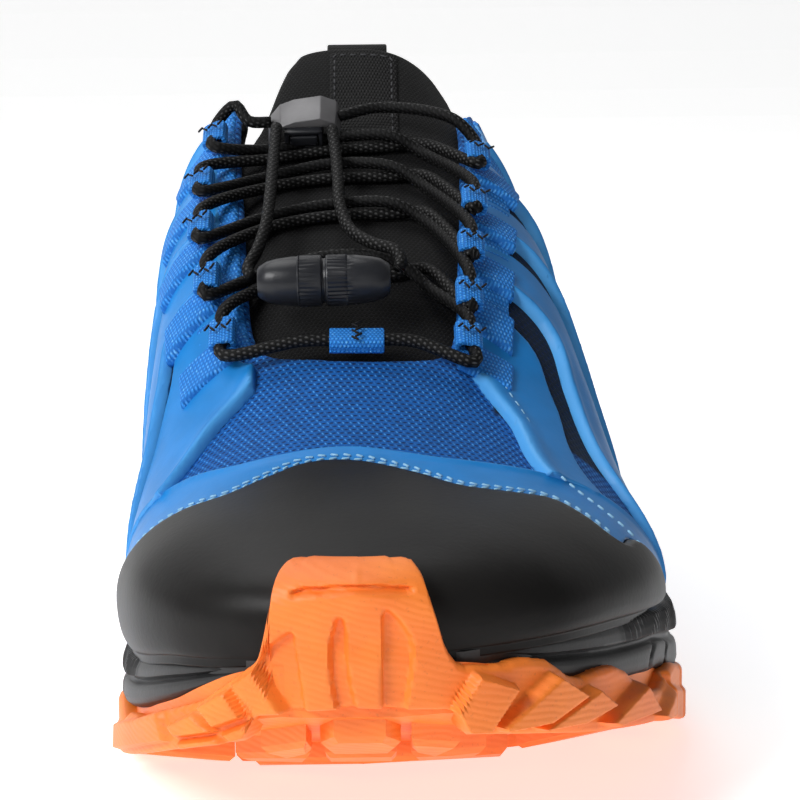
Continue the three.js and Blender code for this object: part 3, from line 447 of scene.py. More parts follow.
# %% Regions
def drawn(points, count):
    """A smooth line through drawn points, as a number of evenly shared places."""
    points = np.array(points, float)
    turn = np.linspace(0, len(points) - 1, count)
    k = np.clip(turn.astype(int), 0, len(points) - 2)
    t = (turn - k)[:, None]
    pad = np.vstack([2 * points[0] - points[1], points, 2 * points[-1] - points[-2]])
    a, b, c, d = pad[k], pad[k + 1], pad[k + 2], pad[k + 3]
    return 0.5 * (2 * b + (c - a) * t + (2 * a - 5 * b + 4 * c - d) * t * t
                  + (3 * b - a - 3 * c + d) * t ** 3)


def nearest(line, spots):
    """Distance to a line, and how far along it the nearest place is."""
    a, b = line[:-1], line[1:]
    length = np.linalg.norm(b - a, axis=1)
    before = np.concatenate([[0], np.cumsum(length)[:-1]])
    best = np.full(len(spots), 1e9)
    run = np.zeros(len(spots))
    for p, q, size, start in zip(a, b, length, before):
        if size < 1e-9:
            continue
        t = np.clip((spots - p) @ (q - p) / size ** 2, 0, 1)
        gap = np.linalg.norm(spots - p - t[:, None] * (q - p), axis=1)
        closer = gap < best
        best[closer], run[closer] = gap[closer], (start + t * size)[closer]
    return best, run


def inside(outline, spots):
    """Signed distance to a closed outline, below zero inside."""
    ring = np.vstack([outline, outline[:1]])
    within = np.zeros(len(spots), bool)
    for (px, py), (qx, qy) in zip(ring[:-1], ring[1:]):
        crosses = (py > spots[:, 1]) != (qy > spots[:, 1])
        where = px + (spots[:, 1] - py) * (qx - px) / (qy - py if abs(qy - py) > 1e-12 else 1e-12)
        within ^= crosses & (spots[:, 0] < where)
    gap = nearest(ring, spots)[0]
    return np.where(within, -gap, gap)


print("regions ready")

# %% [markdown]
# A patch is a net on the last. It can be trimmed along a region, split where a rounded edge needs
# more corners, and closed into a thin solid with a top, a bottom and a rim.

# %% Patches on the last
def spread(count):
    return (1 - np.cos(np.pi * np.linspace(0, 1, count + 1))) / 2


class Patch:
    def __init__(self, shares, arounds):
        share, around = np.meshgrid(shares, arounds, indexing="ij")
        self.at = np.stack([share.ravel(), around.ravel()], axis=1)
        rows, cols = share.shape
        first = (np.arange(rows - 1)[:, None] * cols + np.arange(cols - 1)).ravel()
        self.faces = np.concatenate([
            np.stack([first, first + 1, first + cols + 1], axis=1),
            np.stack([first, first + cols + 1, first + cols], axis=1)])

    def points(self, grow=0.0):
        return on_last(self.at[:, 0], self.at[:, 1], grow)

    def split(self, values):
        values = np.where(np.abs(values) < 0.02, 0.0, values)
        sign = np.sign(values).astype(int)
        corner = sign[self.faces]
        crossed = (corner.min(1) < 0) & (corner.max(1) > 0)
        if not crossed.any():
            return values
        cut, mark = self.faces[crossed], corner[crossed]
        zero = (mark == 0).any(1)
        start = np.where(zero, np.argmax(mark == 0, 1), np.argmax(mark == -mark.sum(1)[:, None], 1))
        turn = (start[:, None] + np.arange(3)) % 3
        a, b, c = np.take_along_axis(cut, turn, 1).T
        pairs = np.concatenate([np.stack([b, c], 1)[zero], np.stack([a, b], 1)[~zero],
                                np.stack([a, c], 1)[~zero]])
        pairs = np.sort(pairs, 1)
        unique, back = np.unique(pairs, axis=0, return_inverse=True)
        back = back.ravel()
        i, j = unique.T
        t = (values[i] / (values[i] - values[j]))[:, None]
        total = len(self.at)
        self.at = np.vstack([self.at, self.at[i] * (1 - t) + self.at[j] * t])
        n0, n1 = zero.sum(), (~zero).sum()
        bc, ab, ac = back[:n0] + total, back[n0:n0 + n1] + total, back[n0 + n1:] + total
        az, bz, cz = a[zero], b[zero], c[zero]
        ao, bo, co = a[~zero], b[~zero], c[~zero]
        self.faces = np.concatenate([
            self.faces[~crossed],
            np.stack([az, bz, bc], 1), np.stack([az, bc, cz], 1),
            np.stack([ao, ab, ac], 1), np.stack([ab, bo, co], 1), np.stack([ab, co, ac], 1)])
        return np.concatenate([values, np.zeros(len(unique))])

    def trim(self, region):
        values = self.split(region(self))
        self.faces = self.faces[values[self.faces].mean(1) < 0]
        used, back = np.unique(self.faces, return_inverse=True)
        self.at, self.faces = self.at[used], back.reshape(-1, 3)
        return self

    def even(self, values):
        """A region's number as millimetres along the surface."""
        p = self.points()
        a, b, c = (p[self.faces[:, k]] for k in range(3))
        va, vb, vc = (values[self.faces[:, k]] for k in range(3))
        normal = np.cross(b - a, c - a)
        area = np.maximum((normal ** 2).sum(1), 1e-12)
        slope = (np.cross(normal, c - b) * va[:, None] + np.cross(normal, a - c) * vb[:, None]
                 + np.cross(normal, b - a) * vc[:, None]) / area[:, None]
        steep = np.linalg.norm(slope, axis=1)
        total, count = np.zeros(len(p)), np.zeros(len(p))
        for k in range(3):
            np.add.at(total, self.faces[:, k], steep)
            np.add.at(count, self.faces[:, k], 1)
        return values / np.clip(total / np.maximum(count, 1), 0.15, 3)

    def refine(self, region, depths):
        for depth in depths:
            self.split(self.even(region(self)) + depth)
        return self


print("patches ready")

# %% [markdown]
# A finished net becomes one closed piece: the top at one height, the bottom at another, and faces
# between them along every border. Each point also keeps how far it is from the edge and a flat
# place in millimetres, which the woven finishes read.

# %% From a net to a piece
_length = np.linspace(0, 1, 241)
_rings = on_last(_length[:, None], np.linspace(-1, 1, 161)[None, :])
_zero_line = [80]


def _run(axis):
    """How far each place of the grid lies from its zero line, along one way."""
    steps = np.linalg.norm(np.diff(_rings, axis=axis), axis=2)
    run = np.concatenate([np.zeros_like(steps.take([0], axis)), np.cumsum(steps, axis=axis)], axis=axis)
    return run - run.take(_zero_line, axis)


_across, _along = _run(1), _run(0)


def flat_place(at):
    i = np.clip(at[:, 0] * 240, 0, 239.999)
    j = np.clip((at[:, 1] + 1) * 80, 0, 159.999)
    a, b = i.astype(int), j.astype(int)
    s, t = i - a, j - b

    def read(grid):
        return ((grid[a, b] * (1 - t) + grid[a, b + 1] * t) * (1 - s)
                + (grid[a + 1, b] * (1 - t) + grid[a + 1, b + 1] * t) * s)
    return np.stack([read(_across), read(_along)], axis=1)


def finish_mesh(name, points, faces, finish, flat=None, marks=None, weld=True, smooth=True, angle=None):
    mesh = bpy.data.meshes.new(name)
    mesh.from_pydata(placed(points).tolist(), [], [tuple(f) for f in faces])
    if flat is not None:
        layer = mesh.uv_layers.new(name="cloth")
        index = np.empty(len(mesh.loops), int)
        mesh.loops.foreach_get("vertex_index", index)
        layer.data.foreach_set("uv", np.asarray(flat, float)[index].ravel())
    for key, values in (marks or {}).items():
        mesh.attributes.new(key, "FLOAT", "POINT").data.foreach_set("value", np.asarray(values, float))
    net = bmesh.new()
    net.from_mesh(mesh)
    if weld:
        bmesh.ops.remove_doubles(net, verts=net.verts, dist=2e-6)
        bmesh.ops.dissolve_degenerate(net, edges=net.edges, dist=1e-7)
        bmesh.ops.recalc_face_normals(net, faces=net.faces)
    for face in net.faces:
        face.smooth = smooth
    net.to_mesh(mesh)
    net.free()
    piece = bpy.data.objects.new(name, mesh)
    bpy.context.collection.objects.link(piece)
    piece.data.materials.append(finish.material)
    if angle:
        mesh.set_sharp_from_angle(angle=math.radians(angle))
    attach(piece, "root")
    return piece


def stand_for(node):
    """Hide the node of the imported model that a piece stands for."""
    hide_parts(node)


def close_patch(name, patch, top, bottom, finish, marks):
    count = len(patch.at)
    edges = np.concatenate([patch.faces[:, [0, 1]], patch.faces[:, [1, 2]], patch.faces[:, [2, 0]]])
    key = np.sort(edges, 1)
    _, first, times = np.unique(key, axis=0, return_index=True, return_counts=True)
    rim_edges = edges[first[times == 1]]
    ends = patch.at[:, 0]
    open_end = ((ends[rim_edges] < 1e-9).all(1)) | ((ends[rim_edges] > 1 - 1e-9).all(1))
    i, j = rim_edges[~open_end].T
    faces = np.concatenate([patch.faces, patch.faces[:, ::-1] + count,
                            np.stack([j, i, i + count], 1), np.stack([j, i + count, j + count], 1)])
    points = np.vstack([patch.points(top), patch.points(bottom)])
    flat = np.tile(flat_place(patch.at), (2, 1))
    marks = {key: np.tile(values, 2) for key, values in marks.items()}
    piece = finish_mesh(name, points, faces, finish, flat, marks)
    print(name, len(piece.data.polygons), "faces")
    return piece


def shell(name, net, region, depths, finish, node, top, bottom, edge=lambda depth: depth):
    """Cut a net along a region, raise it by the distance from its border, and close it."""
    net.trim(region).refine(region, depths)
    depth = -net.even(region(net))
    piece = close_patch(name, net, top(depth), bottom(depth) if callable(bottom) else bottom, finish,
                        {"edge": edge(depth)})
    stand_for(node)
    return piece


def rounded(depth, radius):
    """Height of a rounded edge, from 0 at the edge to 1 past its radius."""
    t = np.clip(depth / radius, 0, 1)
    return np.sqrt(np.maximum(0, 1 - (1 - t) ** 2))


print("pieces can be closed")

# %% [markdown]
# The upper is a blue engineered knit: staggered rows of small pinholes with slanting stitches
# between them. The recipe reads the flat place in millimetres, so the pitch stays true on every side.
# The pinholes get both colour and depth, the stitches a painted highlight as glints, and on the
# sides, under and between the bands, the knit is painted dark as shade.

# %% Knit and film finishes
def cells_of(f, u, v, wide, tall, stagger=0.5):
    row = f.math("FLOOR", f.math("DIVIDE", v, tall))
    shift = f.math("MULTIPLY", f.math("MODULO", f.math("ABSOLUTE", row), 2.0), stagger)
    across = f.math("SUBTRACT", f.math("FRACT", f.math("ADD", f.math("DIVIDE", u, wide), shift)), 0.5)
    up = f.math("SUBTRACT", f.math("FRACT", f.math("DIVIDE", v, tall)), 0.5)
    return across, up


def spot(f, across, up, wide, tall, soft=0.6):
    a, b = f.math("DIVIDE", across, wide), f.math("DIVIDE", up, tall)
    far = f.math("SQRT", f.math("ADD", f.math("MULTIPLY", a, a), f.math("MULTIPLY", b, b)))
    return f.ramp(far, soft, 1.0, 1.0, 0.0)


# Where the knit's painted side shade lies: how far out from the middle, and from where to where along the
# shoe.
DARK_MIDDLE, DARK_OUTSIDE = 0.0136, (0.0315, 0.0325)
DARK_START, DARK_END = (-0.062, -0.06), (0.037, 0.038)


def knit_finish(name, dark, base, glint, pitch=(1.5, 1.25), strength=0.8, side_shade=None):
    f = Finish(name, 0.75, Sheen_Weight=0.03, Sheen_Roughness=0.5, Specular_IOR_Level=0.2)
    u, v = f.flat()
    across, up = cells_of(f, u, v, *pitch)
    hole = spot(f, across, up, 0.3, 0.26)
    beside, _ = cells_of(f, f.math("ADD", u, pitch[0] * 0.5), v, *pitch)
    bead = spot(f, f.math("ADD", beside, f.math("MULTIPLY", up, 0.3)), up, 0.16, 0.36)
    cloudy = f.ramp(f.noise(260, 3), 0.35, 0.7)
    tone = f.mix(cloudy, base, tuple(0.82 * c for c in base))
    # Painted highlight: the stitch beads are lightened towards the glint colour, in patches set by noise.
    tone = f.mix(f.math("MULTIPLY", bead, f.ramp(f.noise(900, 1), 0.35, 0.62, 0.15, 0.9)), tone, glint)
    # Painted shade: on both sides, under and between the bands, the knit is darkened towards the side shade
    # colour.
    if side_shade:
        split = f.node("ShaderNodeSeparateXYZ")
        f.feed(split.inputs[0], f.place())
        from_middle = f.math("ABSOLUTE", f.math("ADD", split.outputs[0], DARK_MIDDLE))
        side_shade_mask = f.math("MULTIPLY", f.ramp(from_middle, *DARK_OUTSIDE),
                         f.ramp(split.outputs[1], *DARK_START))
        side_shade_mask = f.math("MULTIPLY", side_shade_mask, f.ramp(split.outputs[1], *DARK_END, 1.0, 0.0))
        tone = f.mix(side_shade_mask, tone, side_shade)
    f.colour(f.mix(f.math("MULTIPLY", hole, 0.85), tone, dark))
    rise = f.math("SUBTRACT", f.math("MULTIPLY", bead, 0.5), hole)
    f.bump(f.math("ADD", rise, f.math("MULTIPLY", f.noise(1500, 2), 0.2)), strength, 0.0003)
    return f


# The third colour is the stitches' painted glint highlight; side_shade is the painted shade on the sides.
KNIT = knit_finish("knit_blue", (0.0008, 0.014, 0.075), (0.0032, 0.1, 0.39), (0.06, 0.32, 0.78),
                   side_shade=(0.004, 0.012, 0.03))


def film_finish(name, base, rim_highlight, roughness=0.42):
    f = Finish(name, roughness, Specular_IOR_Level=0.22)
    edge = f.node("ShaderNodeAttribute", attribute_name="edge").outputs["Fac"]
    # Painted highlight: near the edge mark the film is lightened towards the rim highlight colour.
    rim_light = f.ramp(edge, 0.1, 0.9, 0.75, 0.0)
    tone = f.mix(f.ramp(f.noise(90, 2), 0.3, 0.7), base, tuple(0.86 * c for c in base))
    f.colour(f.mix(rim_light, tone, rim_highlight))
    f.bump(f.math("ADD", f.noise(700, 3), f.math("MULTIPLY", f.noise(120, 2), 1.5)), 0.12, 0.0004)
    return f


FILM_STEPS = (0.06, 0.25, 0.6, 1.1)
FILM = film_finish("film_blue", (0.012, 0.215, 0.6), (0.1, 0.4, 0.82))
print("blue finishes ready")

# %% [markdown]
# The knit is one wall, 2 mm thick, open at the collar, down the throat and underneath. Its edges
# are rolled: near a border the top sinks and the bottom rises until they meet.

# %% Knit upper
WALL = 2.0
collar_line = drawn(np.array([
    [0.63, 0.95], [0.672, 0.985], [0.7, 0.955], [0.74, 0.85], [0.79, 0.765], [0.85, 0.775], [0.91, 0.86],
    [0.955, 0.91], [1.02, 0.92]]) * [SOLE_LENGTH, INSTEP], 53)
above_collar = np.vstack([collar_line, [[330, 200], [189, 200]]])
throat = drawn(np.array([
    [-0.1, 0.325], [-0.36, 0.335], [-0.47, 0.36], [-0.51, 0.42], [-0.545, 0.5], [-0.585, 0.6],
    [-0.56, 0.66],
    [-0.53, 0.72], [0.47, 0.72], [0.5, 0.66], [0.52, 0.6], [0.5, 0.5], [0.47, 0.42], [0.44, 0.36],
    [0.35, 0.335], [0.1, 0.325], [-0.1, 0.325]]) * [BALL_INNER, SOLE_LENGTH], 97)


def off_throat(patch, shift=0.0):
    spots = patch.points()[:, :2]
    return shift - inside(throat, spots)


def knit_region(patch):
    return np.maximum(off_throat(patch), -inside(above_collar, patch.points()[:, 1:]))


shell("upper_knit", Patch(spread(190), np.linspace(-1.08, 1.08, 131)), knit_region, (0.12, 0.5, 1.0), KNIT,
      "upper", lambda depth: rounded(depth, 1.0) - WALL / 2,
      lambda depth: -WALL / 2 - rounded(depth, 1.0))

# %% [markdown]
# The toe cap is thick smooth rubber moulded over the front. It is cut along a wavy line in plan,
# and its edge is rounded where it meets the blue trim.

# %% Cap rubber and toe cap
CAP = Finish("cap_rubber", 0.4, Specular_IOR_Level=0.13)
CAP.colour(CAP.mix(CAP.ramp(CAP.noise(60, 3), 0.35, 0.7), (0.0125, 0.0118, 0.0114),
                   (0.0085, 0.008, 0.0078)))
CAP.bump(CAP.math("ADD", CAP.noise(900, 3), CAP.math("MULTIPLY", CAP.noise(60, 2), 2.0)), 0.08, 0.0004)

cap_line = np.array([
    [-1.5, 0.24], [-1.05, 0.215], [-0.93, 0.198], [-0.84, 0.187], [-0.67, 0.178], [-0.51, 0.172],
    [-0.36, 0.187],
    [-0.24, 0.202], [-0.12, 0.207]]) * [BALL_INNER, SOLE_LENGTH]
cap_line = drawn(np.vstack([cap_line, np.array([
    [0.03, 0.204], [0.18, 0.187], [0.29, 0.173], [0.42, 0.177], [0.55, 0.187], [0.64, 0.176], [0.7, 0.166],
    [0.75, 0.172], [0.8, 0.2], [0.95, 0.21], [1.4, 0.2]]) * [BALL_OUTER, SOLE_LENGTH]]), 115)
FRONT_CORNERS = np.array([[129.0, -300], [-129, -300]])


def ahead_of(line):
    return lambda patch: inside(np.vstack([line, FRONT_CORNERS]), patch.points()[:, :2])


before_cap = ahead_of(cap_line)
shell("toe_cap_rubber", Patch(spread(190)[:70], np.linspace(-1.08, 1.08, 141)), before_cap,
      (0.08, 0.35, 0.8, 1.4),
      CAP, "toe_cap", lambda depth: 0.1 + 1.8 * rounded(depth, 1.4), 0.02)

# %% [markdown]
# A blue film runs along the back of the cap as a trim. It is narrow in the middle and wide at the
# sides, has a raised edge with a painted highlight along it, and carries two rows of light stitches near
# the cap.

# %% Toe trim
trim_line = drawn(np.array([
    [-75, 92], [-52, 88], [-42.6, 81.6], [-36.6, 76], [-29.4, 71.5], [-22.4, 68.2], [-15.1, 67.8],
    [-5.8, 68.6],
    [0.5, 68.7], [7.6, 67.7], [13.9, 67], [19, 67.3], [27.3, 68.9], [37.7, 71.9], [43, 73.7], [52, 76],
    [90, 80]]), 97)


def trim_region(patch):
    spots = patch.points()[:, :2]
    return np.maximum(inside(np.vstack([trim_line, FRONT_CORNERS]), spots),
                      -inside(np.vstack([cap_line, FRONT_CORNERS]), spots))


def from_back():
    return -trim.even(ahead_of(trim_line)(trim))


def trim_top(depth):
    lip = 0.35 * np.exp(-((from_back() - 0.9) / 0.6) ** 2)
    return 0.1 + (0.75 + lip) * rounded(depth, 0.7)


trim = Patch(spread(260)[30:110], np.linspace(-1.05, 1.05, 201))
# The edge mark places the film's painted highlight along the trim's back edge.
shell("toe_trim_film", trim, trim_region, FILM_STEPS, FILM, "toe_trim", trim_top, 0.02,
      lambda depth: from_back())

# %% [markdown]
# Stitches are modelled, not painted: one small bead with few faces is copied along a line, each
# turned along the line and lying on the surface.

# %% Stitches along a line
def bead_shape():
    rings = [(-0.5, 0), (-0.36, 0.8), (0.36, 0.8), (0.5, 0)]
    points, faces = [(-0.5, 0, 0)], []
    for along, size in rings[1:3]:
        points += [(along, size * math.cos(k * math.pi / 3),
                    size * math.sin(k * math.pi / 3)) for k in range(6)]
    points.append((0.5, 0, 0))
    for k in range(6):
        n = (k + 1) % 6
        faces += [(0, 1 + n, 1 + k), (1 + k, 1 + n, 7 + n, 7 + k), (13, 7 + k, 7 + n)]
    return np.array(points), faces


def stitches(name, centres, along, out, finish, length=1.6, width=0.6, height=0.5):
    shape, corner = bead_shape()
    along = along / np.linalg.norm(along, axis=1, keepdims=True)
    across = np.cross(out, along)
    across /= np.linalg.norm(across, axis=1, keepdims=True)
    up = np.cross(along, across)
    points = (centres[:, None] + along[:, None] * (shape[:, 0] * length)[None, :, None]
              + across[:, None] * (shape[:, 1] * width * 0.6)[None, :, None]
              + up[:, None] * (shape[:, 2] * height * 0.6)[None, :, None]).reshape(-1, 3)
    faces = [tuple(v + k * len(shape) for v in face) for k in range(len(centres)) for face in corner]
    return finish_mesh(name, points, faces, finish, weld=False)


def even_spots(line, pitch, start=0.0):
    steps = np.linalg.norm(np.diff(line, axis=0), axis=1)
    run = np.concatenate([[0], np.cumsum(steps)])
    at = np.arange(start, run[-1], pitch)
    return np.stack([np.interp(at, run, line[:, k]) for k in range(line.shape[1])], axis=1)


def thread_finish(name, colour):
    f = Finish(name, 0.6, Specular_IOR_Level=0.2)
    f.colour(f.mix(f.noise(2500, 1), colour, tuple(0.7 * c for c in colour)))
    f.bump(f.noise(3000, 2), 0.4, 0.0001)
    return f


PALE_THREAD = thread_finish("thread_pale_blue", (0.33, 0.62, 0.86))
BLACK_THREAD = thread_finish("thread_black", (0.008, 0.008, 0.01))


def row_on_last(name, share, around, grow, finish, pitch=2.4, length=1.7, turn=0.0, **sizes):
    line = on_last(share, around, grow)
    both = even_spots(np.hstack([line, share[:, None], around[:, None]]), pitch)
    centres, at = both[:, :3], both[:, 3:]
    out = out_of_last(at[:, 0], at[:, 1], 0.0)
    along = np.gradient(centres, axis=0)
    if turn:
        along = along * math.cos(turn) + np.cross(out, along) * math.sin(turn)
    return stitches(name, centres, along, out, finish, length, **sizes)


def beside_line(line, offset):
    way = np.gradient(line, axis=0)
    way /= np.linalg.norm(way, axis=1, keepdims=True)
    return line + offset * np.stack([-way[:, 1], way[:, 0]], axis=1)


inner = cap_line[(cap_line[:, 0] > -44) & (cap_line[:, 0] < 46)]
for number, offset in enumerate((1.3, 2.9)):
    line = beside_line(inner, offset)
    share, around = from_plan(line[:, 0], line[:, 1])
    row = row_on_last(f"trim_stitches_{number + 1}", share, around, 1.0, PALE_THREAD,
                      turn=0.35 - 0.7 * number)
print("trim stitched")

# %% [markdown]
# Layers of glossy film cover both sides like shingles. Each band runs from the lacing down to the
# sole, stands highest at its front edge and thins out towards the back. On the inner side thin gaps
# part them, and on the outer side more of the knit shows.

# %% Side bands
BAND_LEVELS = [1.15, 0.72, 0.55, 0.4, 0.1]
CAGE_INNER, COUNTER_FROM, EYESTAY = 18.5, 231.0, 9.0
BANDS = {
    -1: [[0.345, 0.385, 0.345, 0.39, 0.292, 0.345, 0.24, 0.3, 0.22, 0.28],
         [0.41, 0.45, 0.402, 0.445, 0.36, 0.41, 0.32, 0.385, 0.3, 0.37],
         [0.465, 0.505, 0.46, 0.51, 0.425, 0.485, 0.4, 0.475, 0.39, 0.48],
         [0.525, 0.57, 0.525, 0.585, 0.5, 0.575, 0.49, 0.58, 0.5, 0.6],
         [0.59, 0.64, 0.605, 0.67, 0.595, 0.68, 0.6, 0.7, 0.62, 0.73]],
    1: [[0.365, 0.395, 0.355, 0.385, 0.297, 0.34, 0.19, 0.24, 0.15, 0.2],
        [0.42, 0.455, 0.405, 0.445, 0.355, 0.4, 0.285, 0.35, 0.25, 0.31],
        [0.47, 0.51, 0.46, 0.505, 0.42, 0.475, 0.375, 0.45, 0.35, 0.43],
        [0.53, 0.575, 0.525, 0.585, 0.495, 0.57, 0.475, 0.57, 0.47, 0.58],
        [0.59, 0.64, 0.605, 0.67, 0.59, 0.68, 0.6, 0.7, 0.61, 0.72]],
}
SIDE_NAME = {-1: "medial", 1: "lateral"}


def band_edge(side, number, offset, shift=0.0):
    row = BANDS[side][number]
    return drawn([[row[2 * k + offset] * SOLE_LENGTH + shift, level * INSTEP]
                  for k, level in enumerate(BAND_LEVELS)], 33)


def joined(side, front, back):
    """A piece of the cage: inside two lines, clear of throat, trim, collar and counter."""
    outline = np.vstack([front, back[::-1]])

    def region(patch):
        p = patch.points()
        values = inside(outline, p[:, 1:])
        values = np.maximum(values, CAGE_INNER - side * p[:, 0])
        values = np.maximum(values, off_throat(patch, EYESTAY_EDGE))
        values = np.maximum(values, -inside(np.vstack([trim_line, FRONT_CORNERS]), p[:, :2]) + TRIM_GAP)
        values = np.maximum(values, -inside(above_collar, p[:, 1:]) + 0.6)
        return np.maximum(values, p[:, 1] - COUNTER_FROM)
    return region


EYESTAY_EDGE, TRIM_GAP = 4.0, -1.5
INNER_GAP = 1.5
for side in (-1, 1):
    for number in range(5):
        front = band_edge(side, number, 0)
        back = band_edge(side, number, 1)
        if side < 0 and number < 4:
            back = band_edge(side, number + 1, 0, -INNER_GAP)
        region = joined(side, front, back)
        shares = np.linspace(max(0.1, front[:, 0].min() / 300 - 0.05),
                             min(0.8, back[:, 0].max() / 300 + 0.05), 70)
        band = Patch(shares, side * np.linspace(0.2, 1.05, 90)[::side])

        def ahead():
            return nearest(front, band.points()[:, 1:])[0]

        def band_top(depth):
            behind = nearest(back, band.points()[:, 1:])[0]
            slope = behind / np.maximum(ahead() + behind, 1e-6)
            lip = 0.55 * np.exp(-((ahead() - 0.8) / 0.8) ** 2)
            return 0.1 + (0.75 + 0.95 * slope + lip) * rounded(depth, 0.75)

        # The edge mark places the film's painted highlight along each band's border and front edge.
        shell(f"cage_{SIDE_NAME[side]}_band_{number + 1}", band, region, FILM_STEPS, FILM,
              f"cage_{SIDE_NAME[side]}", band_top, 0.02,
              lambda depth: np.minimum(depth, ahead()))
line = band_edge(1, 0, 0, 2.6)
line = line[(line[:, 1] > 40) & (line[:, 1] < 76)]
share, around = from_side(line[:, 0], line[:, 1], 1)
row = row_on_last("cage_lateral_stitches", share, around, 1.75, PALE_THREAD, 2.6, 1.7)

# %% [markdown]
# A low strip of the same film, the rand, closes the lower edge along the sole, and a stiffer
# counter wraps the heel.

# %% Rand and heel counter
RAND_HEIGHT = 9.0
shares = np.linspace(0.2, 1, 60)
for side in (-1, 1):
    upper_edge = np.stack([shares * SOLE_LENGTH, rim(shares, side) + RAND_HEIGHT], axis=1)
    region = joined(side, upper_edge, np.array([[60.0, 0], [300, 0]]))
    rand = Patch(np.linspace(0.15, 0.8, 130), side * np.linspace(0.6, 1.05, 50)[::side])
    shell(f"cage_{SIDE_NAME[side]}_rand", rand, region, (0.06, 0.25, 0.6, 1.0), FILM,
          f"cage_{SIDE_NAME[side]}", lambda depth: 0.06 + 0.8 * rounded(depth, 0.6), 0.01)

counter_line = drawn(np.array([[0.77, 0.42], [0.8, 0.5], [0.85, 0.58], [0.92, 0.68], [1.05, 0.74]])
                     * [SOLE_LENGTH, INSTEP], 41)
counter_outline = np.vstack([counter_line, [[315, 0], [231, 0]]])


def counter_region(patch):
    return inside(counter_outline, patch.points()[:, 1:])


COUNTER = film_finish("film_blue_counter", (0.011, 0.17, 0.52), (0.1, 0.4, 0.82), 0.4)
shell("heel_counter_film", Patch(spread(240)[165:], np.linspace(-1.06, 1.06, 190)), counter_region,
      FILM_STEPS,
      COUNTER, "heel_counter", lambda depth: 0.1 + 1.7 * rounded(depth, 1.1), 0.02)

# %% [markdown]
# Woven tape lies under the lace loops on both sides of the throat. Its ribs run across it, so the
# recipe draws a basket weave on the flat place.

# %% Webbing finish and eyestays
def webbing_finish(name, base, dark, light):
    f = Finish(name, 0.62, Specular_IOR_Level=0.2)
    u, v = f.flat()
    across, up = cells_of(f, u, v, 0.8, 1.1)
    thread = spot(f, across, up, 0.48, 0.5, 0.2)
    tone = f.mix(thread, dark, base)
    f.colour(f.mix(f.math("MULTIPLY", f.ramp(f.noise(1300, 1), 0.5, 0.75), thread), tone, light))
    f.bump(f.math("ADD", thread, f.math("MULTIPLY", f.noise(2200, 2), 0.3)), 0.7, 0.0003)
    return f


WEBBING = webbing_finish("webbing_blue", (0.04, 0.3, 0.82), (0.012, 0.15, 0.52), (0.16, 0.5, 0.93))
for side in (-1, 1):
    def tape_region(patch, side=side):
        p = patch.points()
        beside = inside(throat, p[:, :2])
        values = np.maximum(0.6 - beside, beside - EYESTAY - 1)
        values = np.maximum(values, 15 - side * p[:, 0])
        values = np.maximum(values, np.abs(p[:, 1] - 151) - 47)
        return np.maximum(values, -inside(above_collar, p[:, 1:]) + 0.6)

    def tape_top(depth):
        ripple = 0.18 * np.sin(tape.points()[:, 1] * 2 * np.pi / 3.1)
        return 0.06 + (0.95 + ripple) * rounded(depth, 0.9)

    tape = Patch(np.linspace(0.3, 0.68, 170), side * np.linspace(0.1, 0.75, 110)[::side])
    shell(f"eyestay_{SIDE_NAME[side]}", tape, tape_region, (0.1, 0.4, 0.9), WEBBING,
          f"cage_{SIDE_NAME[side]}",
          tape_top, 0.01)

# %% [markdown]
# The collar is lined with a padded black knit. Its roll stands a little over the blue edge. The
# pad is shaped by a smooth swelling towards its middle, which keeps it exactly inside the collar.

# %% Black knit and collar lining
# The third colour is the stitches' painted glint highlight.
BLACK_KNIT = knit_finish("knit_black", (0.0004, 0.0004, 0.0004), (0.0018, 0.0018, 0.0021),
                         (0.012, 0.0125, 0.0135),
                         (1.3, 1.1), 0.9)
LINING, LINING_DROP, LINING_RISE, LINING_FROM = 4.5, 30.0, 2.5, 197.0
lining_band = np.vstack([collar_line + [0, LINING_RISE], collar_line[::-1] - [0, LINING_DROP]])


def lining_region(patch):
    p = patch.points(-WALL)
    values = np.maximum(inside(lining_band, p[:, 1:]), LINING_FROM - p[:, 1])
    return np.maximum(values, off_throat(patch, 1.0))


def pad(name, net, region, finish, node, middle, half):
    """A padded piece that swells both ways from its middle."""
    piece = shell(name, net, region, (0.15, 0.7, 1.8, 3.2), finish, node,
                  lambda depth: middle + half * rounded(depth, 3.4),
                  lambda depth: middle - half * rounded(depth, 3.4))


pad("collar_lining_pad", Patch(spread(220)[110:], np.linspace(-1, 1, 170)), lining_region, BLACK_KNIT,
    "collar_lining", -WALL - 0.3 - LINING / 2, 2.2)

# %% [markdown]
# The tongue is a padded sheet of the same black knit. It follows the last inside the throat and is
# fullest at its top edge.

# %% Tongue
TONGUE_LIFT, TONGUE_THICKNESS = 0.5, 5.0
tongue_outline = drawn(np.array([
    [-0.4, 0.285], [-0.52, 0.33], [-0.6, 0.45], [-0.6, 0.56], [-0.48, 0.61], [-0.4, 0.65], [-0.34, 0.67],
    [-0.22, 0.683], [0.3, 0.683], [0.46, 0.67], [0.52, 0.65], [0.55, 0.61], [0.57, 0.56], [0.56, 0.45],
    [0.48, 0.33], [0.36, 0.285], [-0.4, 0.285]]) * [BALL_INNER, SOLE_LENGTH], 113)


def tongue_region(patch):
    return inside(tongue_outline, patch.points(-WALL - TONGUE_LIFT)[:, :2])


# The third colour is the stitches' painted glint highlight.
TONGUE_KNIT = knit_finish("knit_black_tongue", (0.0004, 0.0004, 0.0004), (0.0015, 0.0015, 0.0018),
                          (0.016, 0.0165, 0.018),
                          (1.0, 0.9), 1.0)
pad("tongue_pad", Patch(np.linspace(0.24, 0.74, 190), np.linspace(-0.66, 0.66, 120)), tongue_region,
    TONGUE_KNIT,
    "tongue", -WALL - TONGUE_LIFT - TONGUE_THICKNESS / 2, 2.5)

